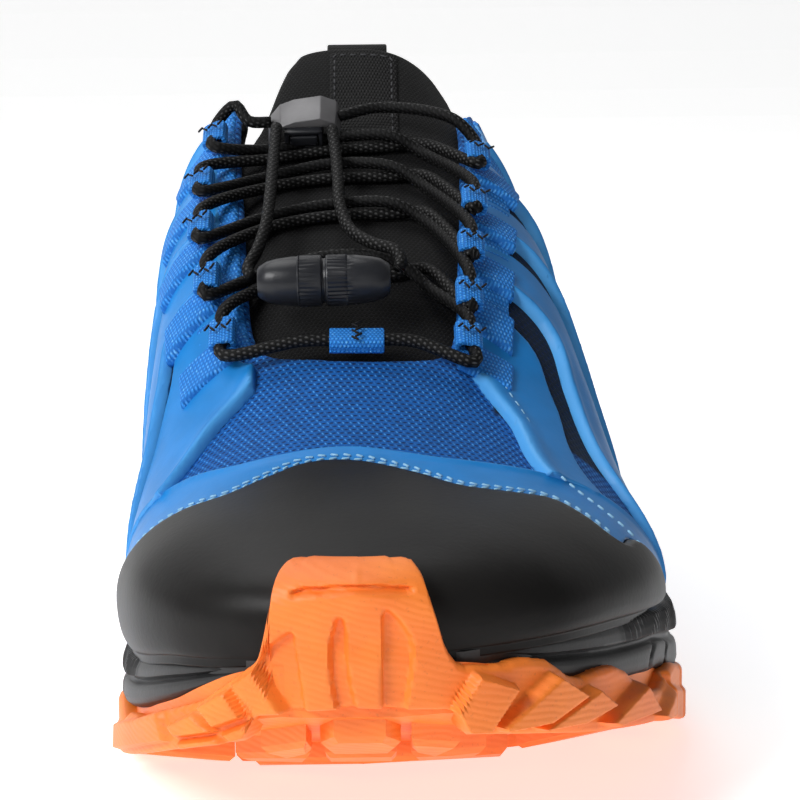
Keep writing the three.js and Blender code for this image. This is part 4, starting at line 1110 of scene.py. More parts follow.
# %% [markdown]
# The patch on the tongue is bare. It is a fine woven tape with a line of stitches round it.

# %% Tongue patch
PATCH_TAPE = webbing_finish("woven_black", (0.006, 0.006, 0.007), (0.001, 0.001, 0.001),
                            (0.014, 0.014, 0.016))
LABEL = np.array([[-0.13, 0.565], [0.21, 0.565], [0.21, 0.672], [-0.13, 0.672]]) * [BALL_INNER, SOLE_LENGTH]


def label_region(patch):
    return inside(LABEL, patch.points(-WALL)[:, :2])


shell("tongue_label_tape", Patch(np.linspace(0.53, 0.72, 80), np.linspace(-0.3, 0.4, 60)), label_region,
      (0.1, 0.3),
      PATCH_TAPE, "tongue_label",
      lambda depth: -WALL - 0.45 + 0.75 * rounded(depth, 0.3), -WALL - 0.6)
GREY_THREAD = thread_finish("thread_grey", (0.06, 0.06, 0.065))
ring = LABEL.mean(0) + (np.vstack([LABEL, LABEL[:1]]) - LABEL.mean(0)) * [0.88, 0.94]
ring = even_spots(ring, 0.5)
share, around = from_plan(ring[:, 0], ring[:, 1])
sewn = row_on_last("tongue_label_stitches", share, around, -WALL + 0.32, GREY_THREAD, 2.4, 1.6, width=0.5,
                   height=0.4)

# %% [markdown]
# The insole is a shaped foam sheet inside the base of the last, seen only from above.

# %% Insole
INSOLE_FOAM = Finish("insole_foam", 0.9)
INSOLE_FOAM.colour(INSOLE_FOAM.mix(INSOLE_FOAM.noise(800, 2), (0.02, 0.022, 0.026), (0.035, 0.038, 0.044)))
INSOLE_FOAM.bump(INSOLE_FOAM.noise(1800, 3), 0.4, 0.0002)
INSOLE_THICKNESS = 4.0
share = spread(90)
edges = {side: on_last(share, side * 1.0, -WALL - 1.0) for side in (-1, 1)}
points, faces = [], []
columns = 15
for k in range(len(share)):
    for j in range(columns):
        t = j / (columns - 1)
        p = edges[-1][k] * (1 - t) + edges[1][k] * t
        level = float(seat(p[0], p[1])) + 2 * SEAT_GAP
        thin = math.sqrt(max(0, 1 - (2 * t - 1) ** 8)) if 0 < k < len(share) - 1 else 0.2
        points.append((p[0], p[1], level + INSOLE_THICKNESS / 2 + INSOLE_THICKNESS / 2 * thin))
        points.append((p[0], p[1], level + INSOLE_THICKNESS / 2 - INSOLE_THICKNESS / 2 * thin))
for k in range(len(share) - 1):
    for j in range(columns - 1):
        a = 2 * (k * columns + j)
        b, c, d = a + 2, a + 2 + 2 * columns, a + 2 * columns
        faces += [(a, b, c, d), (a + 1, d + 1, c + 1, b + 1)]
    for j in (0, columns - 1):
        a, d = 2 * (k * columns + j), 2 * ((k + 1) * columns + j)
        faces.append((a, d, d + 1, a + 1) if j == 0 else (a, a + 1, d + 1, d))
for k in (0, len(share) - 1):
    for j in range(columns - 1):
        a = 2 * (k * columns + j)
        faces.append((a, a + 1, a + 3, a + 2) if k == 0 else (a, a + 2, a + 3, a + 1))
piece = finish_mesh("insole_sheet", np.array(points), faces, INSOLE_FOAM)
stand_for("insole")
print("insole", len(faces), "faces")

# %% [markdown]
# The lacing sits on small frames on the last: across the foot, up the foot and out of the surface.
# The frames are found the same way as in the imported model, so loops, lock and toggle agree.

# %% Frames on the last
def roof(x, y, grow):
    share = np.clip((y - TOE_INSET + grow) / (SOLE_LENGTH - TOE_INSET - HEEL_INSET + 2 * grow), 0.0005,
                    0.9995)
    x, share = np.broadcast_arrays(np.asarray(x, float), np.asarray(share, float))
    size = np.ones_like(x) * BELLY
    around = halved(lambda u: on_last(share, u, grow)[..., 0] - x, -size, size, True)
    return on_last(share, around, grow)[..., 2]


def frame_on(x, y, grow, lift, step=2.0):
    along = np.array([0, 2 * step, float(roof(x, y + step, grow) - roof(x, y - step, grow))])
    along /= np.linalg.norm(along)
    across = np.array([2 * step, 0, float(roof(x + step, y, grow) - roof(x - step, y, grow))])
    out = np.cross(across, along)
    out /= np.linalg.norm(out)
    origin = np.array([x, y, float(roof(x, y, grow))]) + out * lift
    return np.array([np.cross(along, out), along, out]), origin


def in_frame(frame_, x, y, z):
    axes, origin = frame_
    return origin + np.array([x, y, z]) @ axes


def frame_matrix(frame_):
    axes, origin = frame_
    made = Matrix.Identity(4)
    for k in range(3):
        for row in range(3):
            made[row][k] = axes[k][row]
    made.translation = Vector(placed([origin])[0])
    return made


LOOP_LENGTH, LOOP_THICKNESS, HOLE_WIDTH, HOLE_HEIGHT, GAP = 7.0, 1.0, 5.6, 3.6, 0.3
LOOP_LIFT, LOOP_HEIGHT = GAP + 1.6 + GAP, HOLE_HEIGHT + 2 * LOOP_THICKNESS
LOOP_PLACES = {
    -1: [[-0.56, 0.345], [-0.64, 0.393], [-0.685, 0.45], [-0.7, 0.512], [-0.655, 0.57]],
    1: [[0.337, 0.336], [0.348, 0.372], [0.362, 0.416], [0.382, 0.47], [0.405, 0.538]]}
loops = {side: [frame_on(x * (BALL_INNER if side < 0 else BALL_OUTER), y * SOLE_LENGTH, LOOP_LIFT,
                         LOOP_HEIGHT / 2 + GAP) for x, y in LOOP_PLACES[side]] for side in (-1, 1)}
centre_frame = frame_on(0, 0.329 * SOLE_LENGTH, GAP, LOOP_HEIGHT / 2 + 0.3)
print("loops", 11)

# %% [markdown]
# A lace loop is a short tape folded over the lace and sewn down with black zigzag stitches. One
# ring is modelled from a cylinder pressed flat, given the tape's thickness and soft edges, and
# copied to every place.

# %% Webbing loops
def only(piece):
    bpy.ops.object.select_all(action="DESELECT")
    piece.select_set(True)
    bpy.context.view_layer.objects.active = piece


def modify(piece, kind, **settings):
    only(piece)
    made = piece.modifiers.new(kind.lower(), kind)
    for key, value in settings.items():
        setattr(made, key, value)
    bpy.ops.object.modifier_apply(modifier=made.name)


def in_edit(*steps):
    """Run mesh operators on everything in the active object."""
    bpy.ops.object.mode_set(mode="EDIT")
    for step, settings in steps:
        bpy.ops.mesh.select_all(action="SELECT")
        step(**settings)
    bpy.ops.object.mode_set(mode="OBJECT")


OUTWARD = (bpy.ops.mesh.normals_make_consistent, {"inside": False})


def settle(piece, frame_, finish, nodes=(), smooth_angle=35):
    """Turn a shape that was modelled at the origin into place on the frame and hand it to the root body."""
    piece.data.transform(frame_matrix(frame_))
    piece.data.materials.clear()
    piece.data.materials.append(finish.material)
    only(piece)
    bpy.ops.object.shade_smooth_by_angle(angle=math.radians(smooth_angle))
    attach(piece, "root")
    for node in nodes:
        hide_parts(node)
    return piece


def cloth_map(piece, place):
    layer = piece.data.uv_layers.get("cloth") or piece.data.uv_layers.new(name="cloth")
    index = np.empty(len(piece.data.loops), int)
    piece.data.loops.foreach_get("vertex_index", index)
    spots = np.array([v.co for v in piece.data.vertices]) / MM
    layer.data.foreach_set("uv", place(spots)[index].ravel())


def tape_ring(name, length, width, height, thickness):
    bpy.ops.object.select_all(action="DESELECT")
    bpy.ops.mesh.primitive_cylinder_add(vertices=40, radius=1, depth=1, end_fill_type="NOTHING")
    ring = bpy.context.object
    ring.name = name
    in_edit((bpy.ops.mesh.subdivide, {"number_cuts": 3}))
    for v in ring.data.vertices:
        turn = math.atan2(v.co.y, v.co.x)
        c, s = math.cos(turn), math.sin(turn)
        reach = (abs(c) ** 3.2 + abs(s) ** 3.2) ** (-1 / 3.2)
        v.co = Vector((c * reach * width / 2, v.co.z * length, s * reach * height / 2)) * MM
    modify(ring, "SOLIDIFY", thickness=thickness * MM, offset=1, use_even_offset=True)
    in_edit(OUTWARD)
    modify(ring, "BEVEL", width=0.22 * MM, segments=2, limit_method="ANGLE", angle_limit=math.radians(40))
    cloth_map(ring, lambda p: np.stack([p[:, 1], np.arctan2(p[:, 2], p[:, 0]) * 3.6], axis=1))
    return ring


def zigzag(name, frame_, half, top, count=5):
    """Stitches that slant to and fro across a loop, sewn on and handed over."""
    axes = frame_[0]
    turns = (-1.0) ** np.arange(count)
    across = np.linspace(-half, half, count)
    centres = np.array([in_frame(frame_, x, 0.35 * turn, top) for x, turn in zip(across, turns)])
    along = np.stack([np.full(count, 0.75), turns, np.zeros(count)], axis=1) @ axes
    sewn = stitches(name, centres, along, np.tile(axes[2], (count, 1)), BLACK_THREAD, 2.0, 0.55, 0.5)


def tail(side, number, place):
    """The flat end of a loop's tape, sewn down beside the throat."""
    x, y = place[0] * (BALL_INNER if side < 0 else BALL_OUTER), place[1] * SOLE_LENGTH
    near, far = x - side * 1.5, x + side * TAIL_REACH
    corners = np.array([[near, y - 3.6], [far, y - 4.4 - 2.0], [far + side * 0.8, y + 1.6],
                        [near, y + 3.6]])

    def region(patch):
        return inside(corners, patch.points(1.0)[:, :2])

    share = share_at(y)
    net = Patch(np.linspace(share - 0.04, share + 0.03, 36), side * np.linspace(0.02, 0.74, 110)[::side])
    shell(f"lace_tail_{SIDE_NAME[side]}_{number + 1}", net, region, (0.15, 0.5, 0.9), WEBBING,
          f"cage_{SIDE_NAME[side]}", lambda depth: 0.9 + 1.5 * rounded(depth, 0.9), 0.6)


TAIL_REACH = 9.0
for side in (-1, 1):
    for number, spot_frame in enumerate(loops[side]):
        tail(side, number, LOOP_PLACES[side][number])
        name = f"lace_loop_{SIDE_NAME[side]}_{number + 1}"
        ring = tape_ring(name + "_tape", LOOP_LENGTH, HOLE_WIDTH, HOLE_HEIGHT, LOOP_THICKNESS)
        settle(ring, spot_frame, WEBBING, [name], 60)
        zigzag(name + "_stitches", spot_frame, 2.4, LOOP_HEIGHT / 2 - 0.05)
turned = (np.array([centre_frame[0][1], -centre_frame[0][0], centre_frame[0][2]]), centre_frame[1])
ring = tape_ring("lace_loop_centre_tape", 11.0, HOLE_WIDTH, HOLE_HEIGHT, LOOP_THICKNESS)
settle(ring, turned, WEBBING, ["lace_loop_centre"], 60)
zigzag("lace_loop_centre_stitches", turned, 2.6, LOOP_HEIGHT / 2 - 0.05, 6)
print("loops made and sewn")

# %% [markdown]
# The lace is a round elastic cord, black with rows of small light flecks from its braid. A tube is
# drawn round a smooth path, and its flat place runs round and along it in millimetres.

# %% Lace finish and tube
LACE_DIAMETER = 2.6
LACE = Finish("lace_black", 0.6, Specular_IOR_Level=0.15)
u, v = LACE.flat()
across, up = cells_of(LACE, u, v, 2.6 * math.pi / 8, 1.15)
braid = spot(LACE, LACE.math("ADD", across, LACE.math("MULTIPLY", up, 0.6)), up, 0.42, 0.5, 0.3)
picked = LACE.math("LESS_THAN", LACE.math("MODULO",
                                          LACE.math("FLOOR", LACE.math("DIVIDE", u, 2.6 * math.pi / 8)),
                                          4.0), 1.5)
fleck = LACE.math("MULTIPLY", spot(LACE, across, up, 0.3, 0.36, 0.4), picked)
LACE.colour(LACE.mix(LACE.math("MULTIPLY", fleck, 0.8),
                     LACE.mix(braid, (0.002, 0.002, 0.002), (0.009, 0.009, 0.01)),
                     (0.07, 0.07, 0.07)))
LACE.bump(braid, 0.5, 0.0002)


def curve_through(points, step):
    """A smooth path through points, in even steps, and its length."""
    points = np.asarray(points, float)
    knots = np.concatenate([[0], np.cumsum(np.sqrt(np.linalg.norm(np.diff(points, axis=0), axis=1)))])
    pad = np.vstack([2 * points[0] - points[1], points, 2 * points[-1] - points[-2]])
    key = np.concatenate([[2 * knots[0] - knots[1]], knots, [2 * knots[-1] - knots[-2]]])
    fine = []
    for k in range(1, len(pad) - 2):
        t = np.linspace(key[k], key[k + 1], 24, endpoint=False)[:, None]

        def between(p, q, i, j):
            return (key[j] - t) / (key[j] - key[i]) * p + (t - key[i]) / (key[j] - key[i]) * q

        a1, a2, a3 = (between(pad[i], pad[i + 1], i, i + 1) for i in (k - 1, k, k + 1))
        fine.append(between(between(a1, a2, k - 1, k + 1), between(a2, a3, k, k + 2), k, k + 1))
    fine = np.vstack(fine + [points[-1:]])
    run = np.concatenate([[0], np.cumsum(np.linalg.norm(np.diff(fine, axis=0), axis=1))])
    at = np.linspace(0, run[-1], max(3, round(run[-1] / step) + 1))
    return np.stack([np.interp(at, run, fine[:, k]) for k in range(3)], axis=1), run[-1]


def tube(path, radius):
    """A tube round a path: points, faces and flat places in millimetres."""
    sides = 12
    way = np.gradient(path, axis=0)
    way /= np.linalg.norm(way, axis=1, keepdims=True)
    side = np.cross(way[0], [0, 0, 1.0])
    side /= np.linalg.norm(side)
    points, flat, run = [], [], 0.0
    for k, (p, w) in enumerate(zip(path, way)):
        side = side - w * (side @ w)
        side /= np.linalg.norm(side)
        up = np.cross(side, w)
        run += 0 if k == 0 else np.linalg.norm(p - path[k - 1])
        for j in range(sides):
            turn = 2 * math.pi * j / sides
            points.append(p + radius * (math.cos(turn) * side + math.sin(turn) * up))
            flat.append((turn * radius, run))
    faces = [(k * sides + j, k * sides + (j + 1) % sides, (k + 1) * sides + (j + 1) % sides,
              (k + 1) * sides + j)
             for k in range(len(path) - 1) for j in range(sides)]
    faces += [tuple(range(sides))[::-1], tuple((len(path) - 1) * sides + j for j in range(sides))]
    return np.array(points), faces, np.array(flat)


print("lace", LACE_DIAMETER, "mm thick")

# %% [markdown]
# Each strand leaves one loop, arches over the tongue and enters the next loop on the other side.
# Two strands share each row, close together, and cross near the outer side.

# %% Lace crossings
TONGUE_GROW = -WALL - TONGUE_LIFT
END_REACH, LACE_BOW = LOOP_LENGTH / 2 + 2, 0.8
ROWS = [
    dict(left=(118.5, 122.5), middle=(119.5, 126.0), right=(117.5, 123.5)),
    dict(left=(138.0, 142.0), middle=(141.9, 145.3), right=(139.0, 143.5)),
    dict(left=(155.0, 159.0), middle=(158.1, 162.4), right=(153.8, 159.3)),
    dict(left=(166.0, 169.0), middle=(168.4, 171.6), right=(167.0, 171.0)),
]


def over(x, y, lift):
    return np.array([x, y, float(roof(x, y, TONGUE_GROW)) + lift + LACE_DIAMETER / 2])


strands = []
for k, row in enumerate(ROWS):
    inner_rear, outer_front = loops[-1][k], loops[1][k + 1]
    outer_rear, inner_front = loops[1][k], loops[-1][k + 1]
    strands.append([in_frame(inner_rear, 0, -0.5, 0), in_frame(inner_rear, 0, END_REACH, LACE_BOW),
                    over(-19, row["left"][0], 0.8), over(-5.6, row["middle"][0], 0.4),
                    over(8, (row["middle"][0] + row["right"][1]) / 2, 0.3),
                    over(14.5, row["right"][1], 0.8),
                    in_frame(outer_front, 0, -END_REACH, LACE_BOW), in_frame(outer_front, 0, 0.5, 0)])
    strands.append([in_frame(outer_rear, 0, -0.5, 0), in_frame(outer_rear, 0, END_REACH, LACE_BOW),
                    over(15, row["right"][0], 1.2), over(8, (row["middle"][1] + row["right"][0]) / 2, 3.0),
                    over(-5.6, row["middle"][1], 1.2), over(-19, row["left"][1], 1.0),
                    in_frame(inner_front, 0, -END_REACH, LACE_BOW), in_frame(inner_front, 0, 0.5, 0)])
first_inner, first_outer = loops[-1][0], loops[1][0]
strands.append([in_frame(first_inner, 0, 0.5, 0), in_frame(first_inner, 0, -END_REACH, 0),
                in_frame(centre_frame, -11, 0, 0), in_frame(centre_frame, 0, 0, 0),
                in_frame(centre_frame, 11, 0, 0),
                in_frame(first_outer, 1.2, -END_REACH - 1.4, 0), in_frame(first_outer, 0, 0.5, 0)])
LOCK_WIDTH, LOCK_HEIGHT, LOCK_DEPTH = 17.0, 8.0, 8.0
lock_frame = frame_on(-0.25 * BALL_INNER, 0.585 * SOLE_LENGTH, TONGUE_GROW, 0.9)
top_inner, top_outer = loops[-1][-1], loops[1][-1]
strands.append([in_frame(top_inner, 0, -0.5, 0), in_frame(top_inner, 0, END_REACH, 0),
                in_frame(top_inner, 5, END_REACH + 3.5, 1),
                in_frame(lock_frame, -LOCK_WIDTH / 2 - 4, 0.5, 4),
                in_frame(lock_frame, -LOCK_WIDTH / 2 + 1, 0.5, 3.5)])
strands.append([in_frame(top_outer, 0, -0.5, 0), in_frame(top_outer, 0, END_REACH, 0),
                in_frame(top_outer, -6, END_REACH + 5, 2), in_frame(lock_frame, LOCK_WIDTH / 2 + 9, 4, 4),
                in_frame(lock_frame, LOCK_WIDTH / 2 - 1, 1, 4)])
all_points, all_faces, all_flat, total = [], [], [], 0.0
for strand in strands:
    path, length = curve_through(strand, 1.3)
    points, faces, flat = tube(path, LACE_DIAMETER / 2)
    start = sum(len(p) for p in all_points)
    all_points.append(points)
    all_flat.append(flat)
    all_faces += [tuple(v + start for v in face) for face in faces]
    total += length
piece = finish_mesh("lace_strands", np.vstack(all_points), all_faces, LACE, np.vstack(all_flat), weld=False)
stand_for("lace_crossings")
print("lace over the tongue", round(total), "mm")

# %% [markdown]
# The barrel toggle joins the two ends of the lace. Its profile is spun round its axis, and the two
# gripping bands get fine ribs by pushing every other column out.

# %% Toggle
PLASTIC = Finish("lock_black", 0.34, Specular_IOR_Level=0.3)
PLASTIC.colour(PLASTIC.mix(PLASTIC.noise(500, 2), (0.014, 0.015, 0.018), (0.02, 0.021, 0.025)))
PLASTIC.bump(PLASTIC.noise(1800, 3), 0.15, 0.0002)
TOGGLE_LENGTH, TOGGLE_DIAMETER = 27.0, 10.5
TOGGLE_LIFT = TOGGLE_DIAMETER / 2 + 0.8 + 1.6 + LACE_DIAMETER + GAP
toggle_frame = frame_on(-0.135 * BALL_INNER, 0.373 * SOLE_LENGTH, TONGUE_GROW, TOGGLE_LIFT)
profile = [[0.0, -0.5], [0.26, -0.5], [0.31, -0.488], [0.4, -0.43], [0.445, -0.36], [0.485, -0.24],
           [0.485, -0.2],
           [0.5, -0.19], [0.5, -0.18], [0.5, -0.03], [0.49, -0.02], [0.44, -0.012], [0.43, 0.0],
           [0.44, 0.012],
           [0.49, 0.02], [0.5, 0.03], [0.5, 0.16], [0.5, 0.17], [0.485, 0.18], [0.485, 0.24], [0.445, 0.36],
           [0.4, 0.43], [0.31, 0.488], [0.26, 0.5], [0.0, 0.5]]
SPIN_STEPS = 72
bpy.ops.object.select_all(action="DESELECT")
bpy.ops.mesh.primitive_circle_add(vertices=len(profile), fill_type="NOTHING")
toggle = bpy.context.object
toggle.name = "lace_toggle_barrel"
for v, (r, along) in zip(toggle.data.vertices, profile):
    v.co = Vector((along * TOGGLE_LENGTH, 0, r * TOGGLE_DIAMETER)) * MM
bpy.ops.object.mode_set(mode="EDIT")
bpy.ops.mesh.select_all(action="DESELECT")
bpy.ops.mesh.select_mode(type="EDGE")
bpy.ops.object.mode_set(mode="OBJECT")
for edge in toggle.data.edges:
    ends = sorted(edge.vertices)
    edge.select = ends == [0, len(profile) - 1]
bpy.ops.object.mode_set(mode="EDIT")
bpy.ops.mesh.delete(type="EDGE")
bpy.ops.mesh.select_all(action="SELECT")
bpy.ops.mesh.spin(steps=SPIN_STEPS, angle=2 * math.pi, center=(0, 0, 0), axis=(1, 0, 0))
bpy.ops.mesh.select_all(action="SELECT")
bpy.ops.mesh.remove_doubles(threshold=2e-6)
bpy.ops.mesh.normals_make_consistent(inside=False)
bpy.ops.object.mode_set(mode="OBJECT")
for v in toggle.data.vertices:
    r = math.hypot(v.co.y, v.co.z)
    column = round(math.atan2(v.co.z, v.co.y) / (2 * math.pi) * SPIN_STEPS)
    grip = abs(abs(v.co.x / MM / TOGGLE_LENGTH) - 0.11) < 0.075
    if grip and r > 0.46 * TOGGLE_DIAMETER * MM and column % 2:
        v.co.y *= 0.94
        v.co.z *= 0.94
settle(toggle, toggle_frame, PLASTIC, ["lace_toggle"], 30)
print("toggle", len(toggle.data.polygons), "faces")

# %% [markdown]
# Both free ends of the lace hang from the lock, lie over the crossings and run into the toggle.
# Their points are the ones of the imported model.

# %% Lace ends
ENDS = {
    "medial": [[-17.8, 167.5, 8.2], [-18, 160, 8.6], [-18.2, 147, 9], [-18.4, 137, 9.2], [-19, 127, 9.4],
               [-20.6, 119.5, 9.6], [-22.4, 114.8, 10.3], [-21.6, 112.1, 10.55]],
    "lateral": [[-5.3, 167.5, 7.2], [-4.6, 160, 7.2], [-3.9, 147, 7.2], [-3.4, 136, 7.2], [-1, 127, 7.2],
                [3.6, 120.6, 8.6], [8, 116.9, 10.1], [9.3, 113.6, 10.5], [8.8, 111.9, 10.55]]}
for name, rows in ENDS.items():
    route = [over(x, y, lift - LACE_DIAMETER / 2) for x, y, lift in rows]
    path, length = curve_through(route, 1.3)
    points, faces, flat = tube(path, LACE_DIAMETER / 2)
    cord = finish_mesh(f"lace_end_{name}_cord", points, faces, LACE, flat, weld=False)
    stand_for(f"lace_end_{name}")
    print("lace end", name, round(length, 1), "mm")

# %% [markdown]
# The cord lock is a small faceted hood over a frame with a push button. Each part is an outline
# pulled to its depth, with its edges bevelled.

# %% Cord lock
HOOD = Finish("lock_grey", 0.36, Metallic=0.3, Specular_IOR_Level=0.3)
HOOD.colour(HOOD.mix(HOOD.noise(300, 2), (0.11, 0.108, 0.112), (0.155, 0.153, 0.158)))
HOOD.bump(HOOD.noise(2200, 3), 0.12, 0.0002)


def pulled(name, outline, depth, bevel, along="y"):
    """An outline in millimetres, pulled to a depth both ways and bevelled."""
    bpy.ops.object.select_all(action="DESELECT")
    bpy.ops.mesh.primitive_circle_add(vertices=len(outline), fill_type="NGON")
    made = bpy.context.object
    made.name = name
    for v, (a, b) in zip(made.data.vertices, outline):
        v.co = Vector((a, -depth / 2, b) if along == "y" else (-depth / 2, a, b)) * MM
    way = (0, depth * MM, 0) if along == "y" else (depth * MM, 0, 0)
    in_edit((bpy.ops.mesh.extrude_region_move, {"TRANSFORM_OT_translate": {"value": way}}), OUTWARD)
    modify(made, "BEVEL", width=bevel * MM, segments=3, limit_method="ANGLE", angle_limit=math.radians(28))
    return made


hood_outline = np.array([
    [-0.5, 0.05], [-0.47, 0.33], [-0.32, 0.74], [-0.12, 0.9], [0.24, 1], [0.44, 0.8], [0.5, 0.46],
    [0.5, 0.25],
    [0.38, 0.25], [0.36, 0.66], [-0.26, 0.66], [-0.36, 0.3], [-0.37, 0.05]]) * [LOCK_WIDTH, LOCK_HEIGHT]
hood = pulled("cord_lock_hood_shell", hood_outline, LOCK_DEPTH, 0.3)
for v in hood.data.vertices:
    if v.co.y < 0:
        v.co.z -= 0.9 * MM * (v.co.z / (LOCK_HEIGHT * MM))
        v.co.x *= 0.96
settle(hood, lock_frame, HOOD, ["cord_lock_hood"], 25)

FRAME_WIDTH, FRAME_HEIGHT, FRAME_DEPTH, FRAME_WALL, FRAME_RECESS = 8.6, 4.8, 9.5, 0.9, 2.0
w, h = FRAME_WIDTH / 2, FRAME_HEIGHT
face_y = -FRAME_DEPTH / 2 - 1


def box_between(name, low, high, bevel):
    outline = [(low[0], low[2]), (high[0], low[2]), (high[0], high[2]), (low[0], high[2])]
    made = pulled(name, outline, high[1] - low[1], bevel)
    made.data.transform(Matrix.Translation((0, (low[1] + high[1]) / 2 * MM, 0)))
    return made


bars = [((-w, face_y, 0), (w, face_y + FRAME_DEPTH, FRAME_WALL)),
        ((-w, face_y, h - FRAME_WALL), (w, face_y + FRAME_DEPTH, h)),
        ((-w, face_y, 0), (-w + FRAME_WALL, face_y + FRAME_DEPTH, h)),
        ((w - FRAME_WALL, face_y, 0), (w, face_y + FRAME_DEPTH, h)),
        ((-w, face_y + FRAME_RECESS, 0), (w, face_y + FRAME_DEPTH, h))]
for number, (low, high) in enumerate(bars):
    bar = box_between(f"cord_lock_frame_{number + 1}", low, high, 0.22)
    settle(bar, lock_frame, PLASTIC, ["cord_lock_body"], 40)
inset = FRAME_WALL + GAP
button = box_between("cord_lock_push_button", (-w + inset, face_y - 0.3, inset),
                     (w - inset, face_y + 1.7, h - inset), 0.35)
for v in button.data.vertices:
    if v.co.y / MM < face_y and abs(v.co.x / MM) < w - inset - 0.5:
        v.co.y += 0.25 * MM
settle(button, lock_frame, PLASTIC, ["cord_lock_button"], 30)
print("cord lock", 7, "pieces")

# %% [markdown]
# The heel pull is a band of black webbing bent into a loop over the back of the collar.

# %% Heel pull
PULL_WIDTH, PULL_INNER, PULL_OUT, PULL_TOP, PULL_TAPE = 16.0, 0.945, 0.986, 1.095, 2.2


def arch(inset):
    front, back = PULL_INNER * SOLE_LENGTH + inset, PULL_OUT * SOLE_LENGTH + 3 - inset
    half, mid = (back - front) / 2, (back + front) / 2
    centre = PULL_TOP * INSTEP - (PULL_OUT - PULL_INNER) * SOLE_LENGTH / 2 - 1.5
    turn = np.linspace(0, np.pi, 21)
    return np.stack([mid + half * np.cos(turn), centre + half * np.sin(turn)], axis=1), front, back


outer_arc, outer_front, outer_back = arch(0)
inner_arc, inner_front, inner_back = arch(PULL_TAPE)
pull_outline = np.vstack([[[outer_back, 0.72 * INSTEP]], outer_arc, [[outer_front, 0.947 * INSTEP]],
                          [[inner_front, 0.947 * INSTEP]], inner_arc[::-1], [[inner_back, 0.72 * INSTEP]]])
PULL_TAPE_FINISH = webbing_finish("woven_black_pull", (0.006, 0.006, 0.007), (0.001, 0.001, 0.001),
                                  (0.014, 0.014, 0.016))
pull = pulled("heel_pull_tape", pull_outline, PULL_WIDTH, 0.45, "x")
cloth_map(pull, lambda p: np.stack([p[:, 0], p[:, 2] + p[:, 1]], axis=1))
settle(pull, (np.eye(3), np.zeros(3)), PULL_TAPE_FINISH, ["heel_pull"], 40)
rows = np.array([[x, 290.5 + 8.6, z] for x in (-6.3, 6.3) for z in np.arange(88, 116, 2.6)])
sewn = stitches("heel_pull_stitches", rows, np.tile([0, 0, 1.0], (len(rows), 1)),
                np.tile([0, 1.0, 0], (len(rows), 1)),
                BLACK_THREAD, 1.8, 0.6, 0.5)
print("heel pull", len(pull.data.polygons), "faces")

# %% [markdown]
# The soles follow one outline in plan. It runs from the heel up the outer side, round the toe and
# back, and every wall of the sole is a strip along it: stations along the outline, rows up the
# wall, and a relief that pushes each point in or out. Lugs, ribs and grooves are written into that
# relief, because their real shapes bend with the outline.

# %% The sole's outline
def plan_outline(step, scale=1.0, start=0.0, length=SOLE_LENGTH):
    """Even places along the outline, and the way out at each."""
    share = spread(400)
    sides = [np.stack([side * sole_half(share, side) * scale, start + share * length],
                      axis=1) for side in (1, -1)]
    line = even_spots(np.vstack([sides[0][::-1], sides[1][1:]]), step)
    way = np.gradient(line, axis=0)
    way /= np.linalg.norm(way, axis=1, keepdims=True)
    out = np.stack([way[:, 1], -way[:, 0]], axis=1)
    if (out * (line - line.mean(0))).sum() < 0:
        out = -out
    return line, out


print("outline ready")

# %% [markdown]
# Over the toe the orange rubber climbs the cap as a bumper. The wall leans back there with the
# cap: for every height, the last's own outline at that height says how far.

# %% How far the cap stands back
def cap_outlines(levels, grow):
    """For each height, the last's outline as angles and distances from a centre in the toe."""
    shares = spread(300)[:130]
    found = []
    for level in levels:
        turn, far = [], []
        for side in (1, -1):
            zero, one = np.zeros_like(shares), np.full_like(shares, BELLY)
            u = halved(lambda t: on_last(shares, side * t, grow)[..., 2] - level, zero, one, False)
            p = on_last(shares, side * u, grow)
            turn.append(np.arctan2(p[:, 0], CAP_CENTRE[1] - p[:, 1]))
            far.append(np.linalg.norm(p[:, :2] - CAP_CENTRE, axis=1))
        turn, far = np.concatenate([turn[1][::-1], turn[0]]), np.concatenate([far[1][::-1], far[0]])
        order = np.argsort(turn)
        found.append((turn[order], far[order]))
    return found


CAP_CENTRE = np.array([0.0, 45.0])
CAP_LEVELS = np.arange(40.0, 60.0, 1.0)
CAP_OUTLINES = cap_outlines(CAP_LEVELS, 4.3)


def lean_back(spots, heights):
    """Inward shift, for spots on the outline and rows of heights, that lies on the cap."""
    turn = np.arctan2(spots[:, 0], CAP_CENTRE[1] - spots[:, 1])
    far = np.linalg.norm(spots - CAP_CENTRE, axis=1)
    shifts = np.array([far - np.interp(turn, known, reach) for known, reach in CAP_OUTLINES])
    k = np.clip(heights - CAP_LEVELS[0], 0, len(CAP_LEVELS) - 1.001)
    low = k.astype(int)
    t = k - low
    index = np.arange(len(spots))[:, None]
    return shifts[low, index] * (1 - t) + shifts[low + 1, index] * t


print("cap stands back", np.round(lean_back(np.array([[0.0, 0.0]]), np.array([[50.0]])), 1),
      "mm at the toe")

# %% [markdown]
# The front of the sole is drawn as the camera sees it: the orange edge, the hollows of the bumper
# and the flat-faced blocks beside it are outlines in that view. Each point of the wall looks up
# where it lies in the view, and rises or sinks with the outlines it falls in.

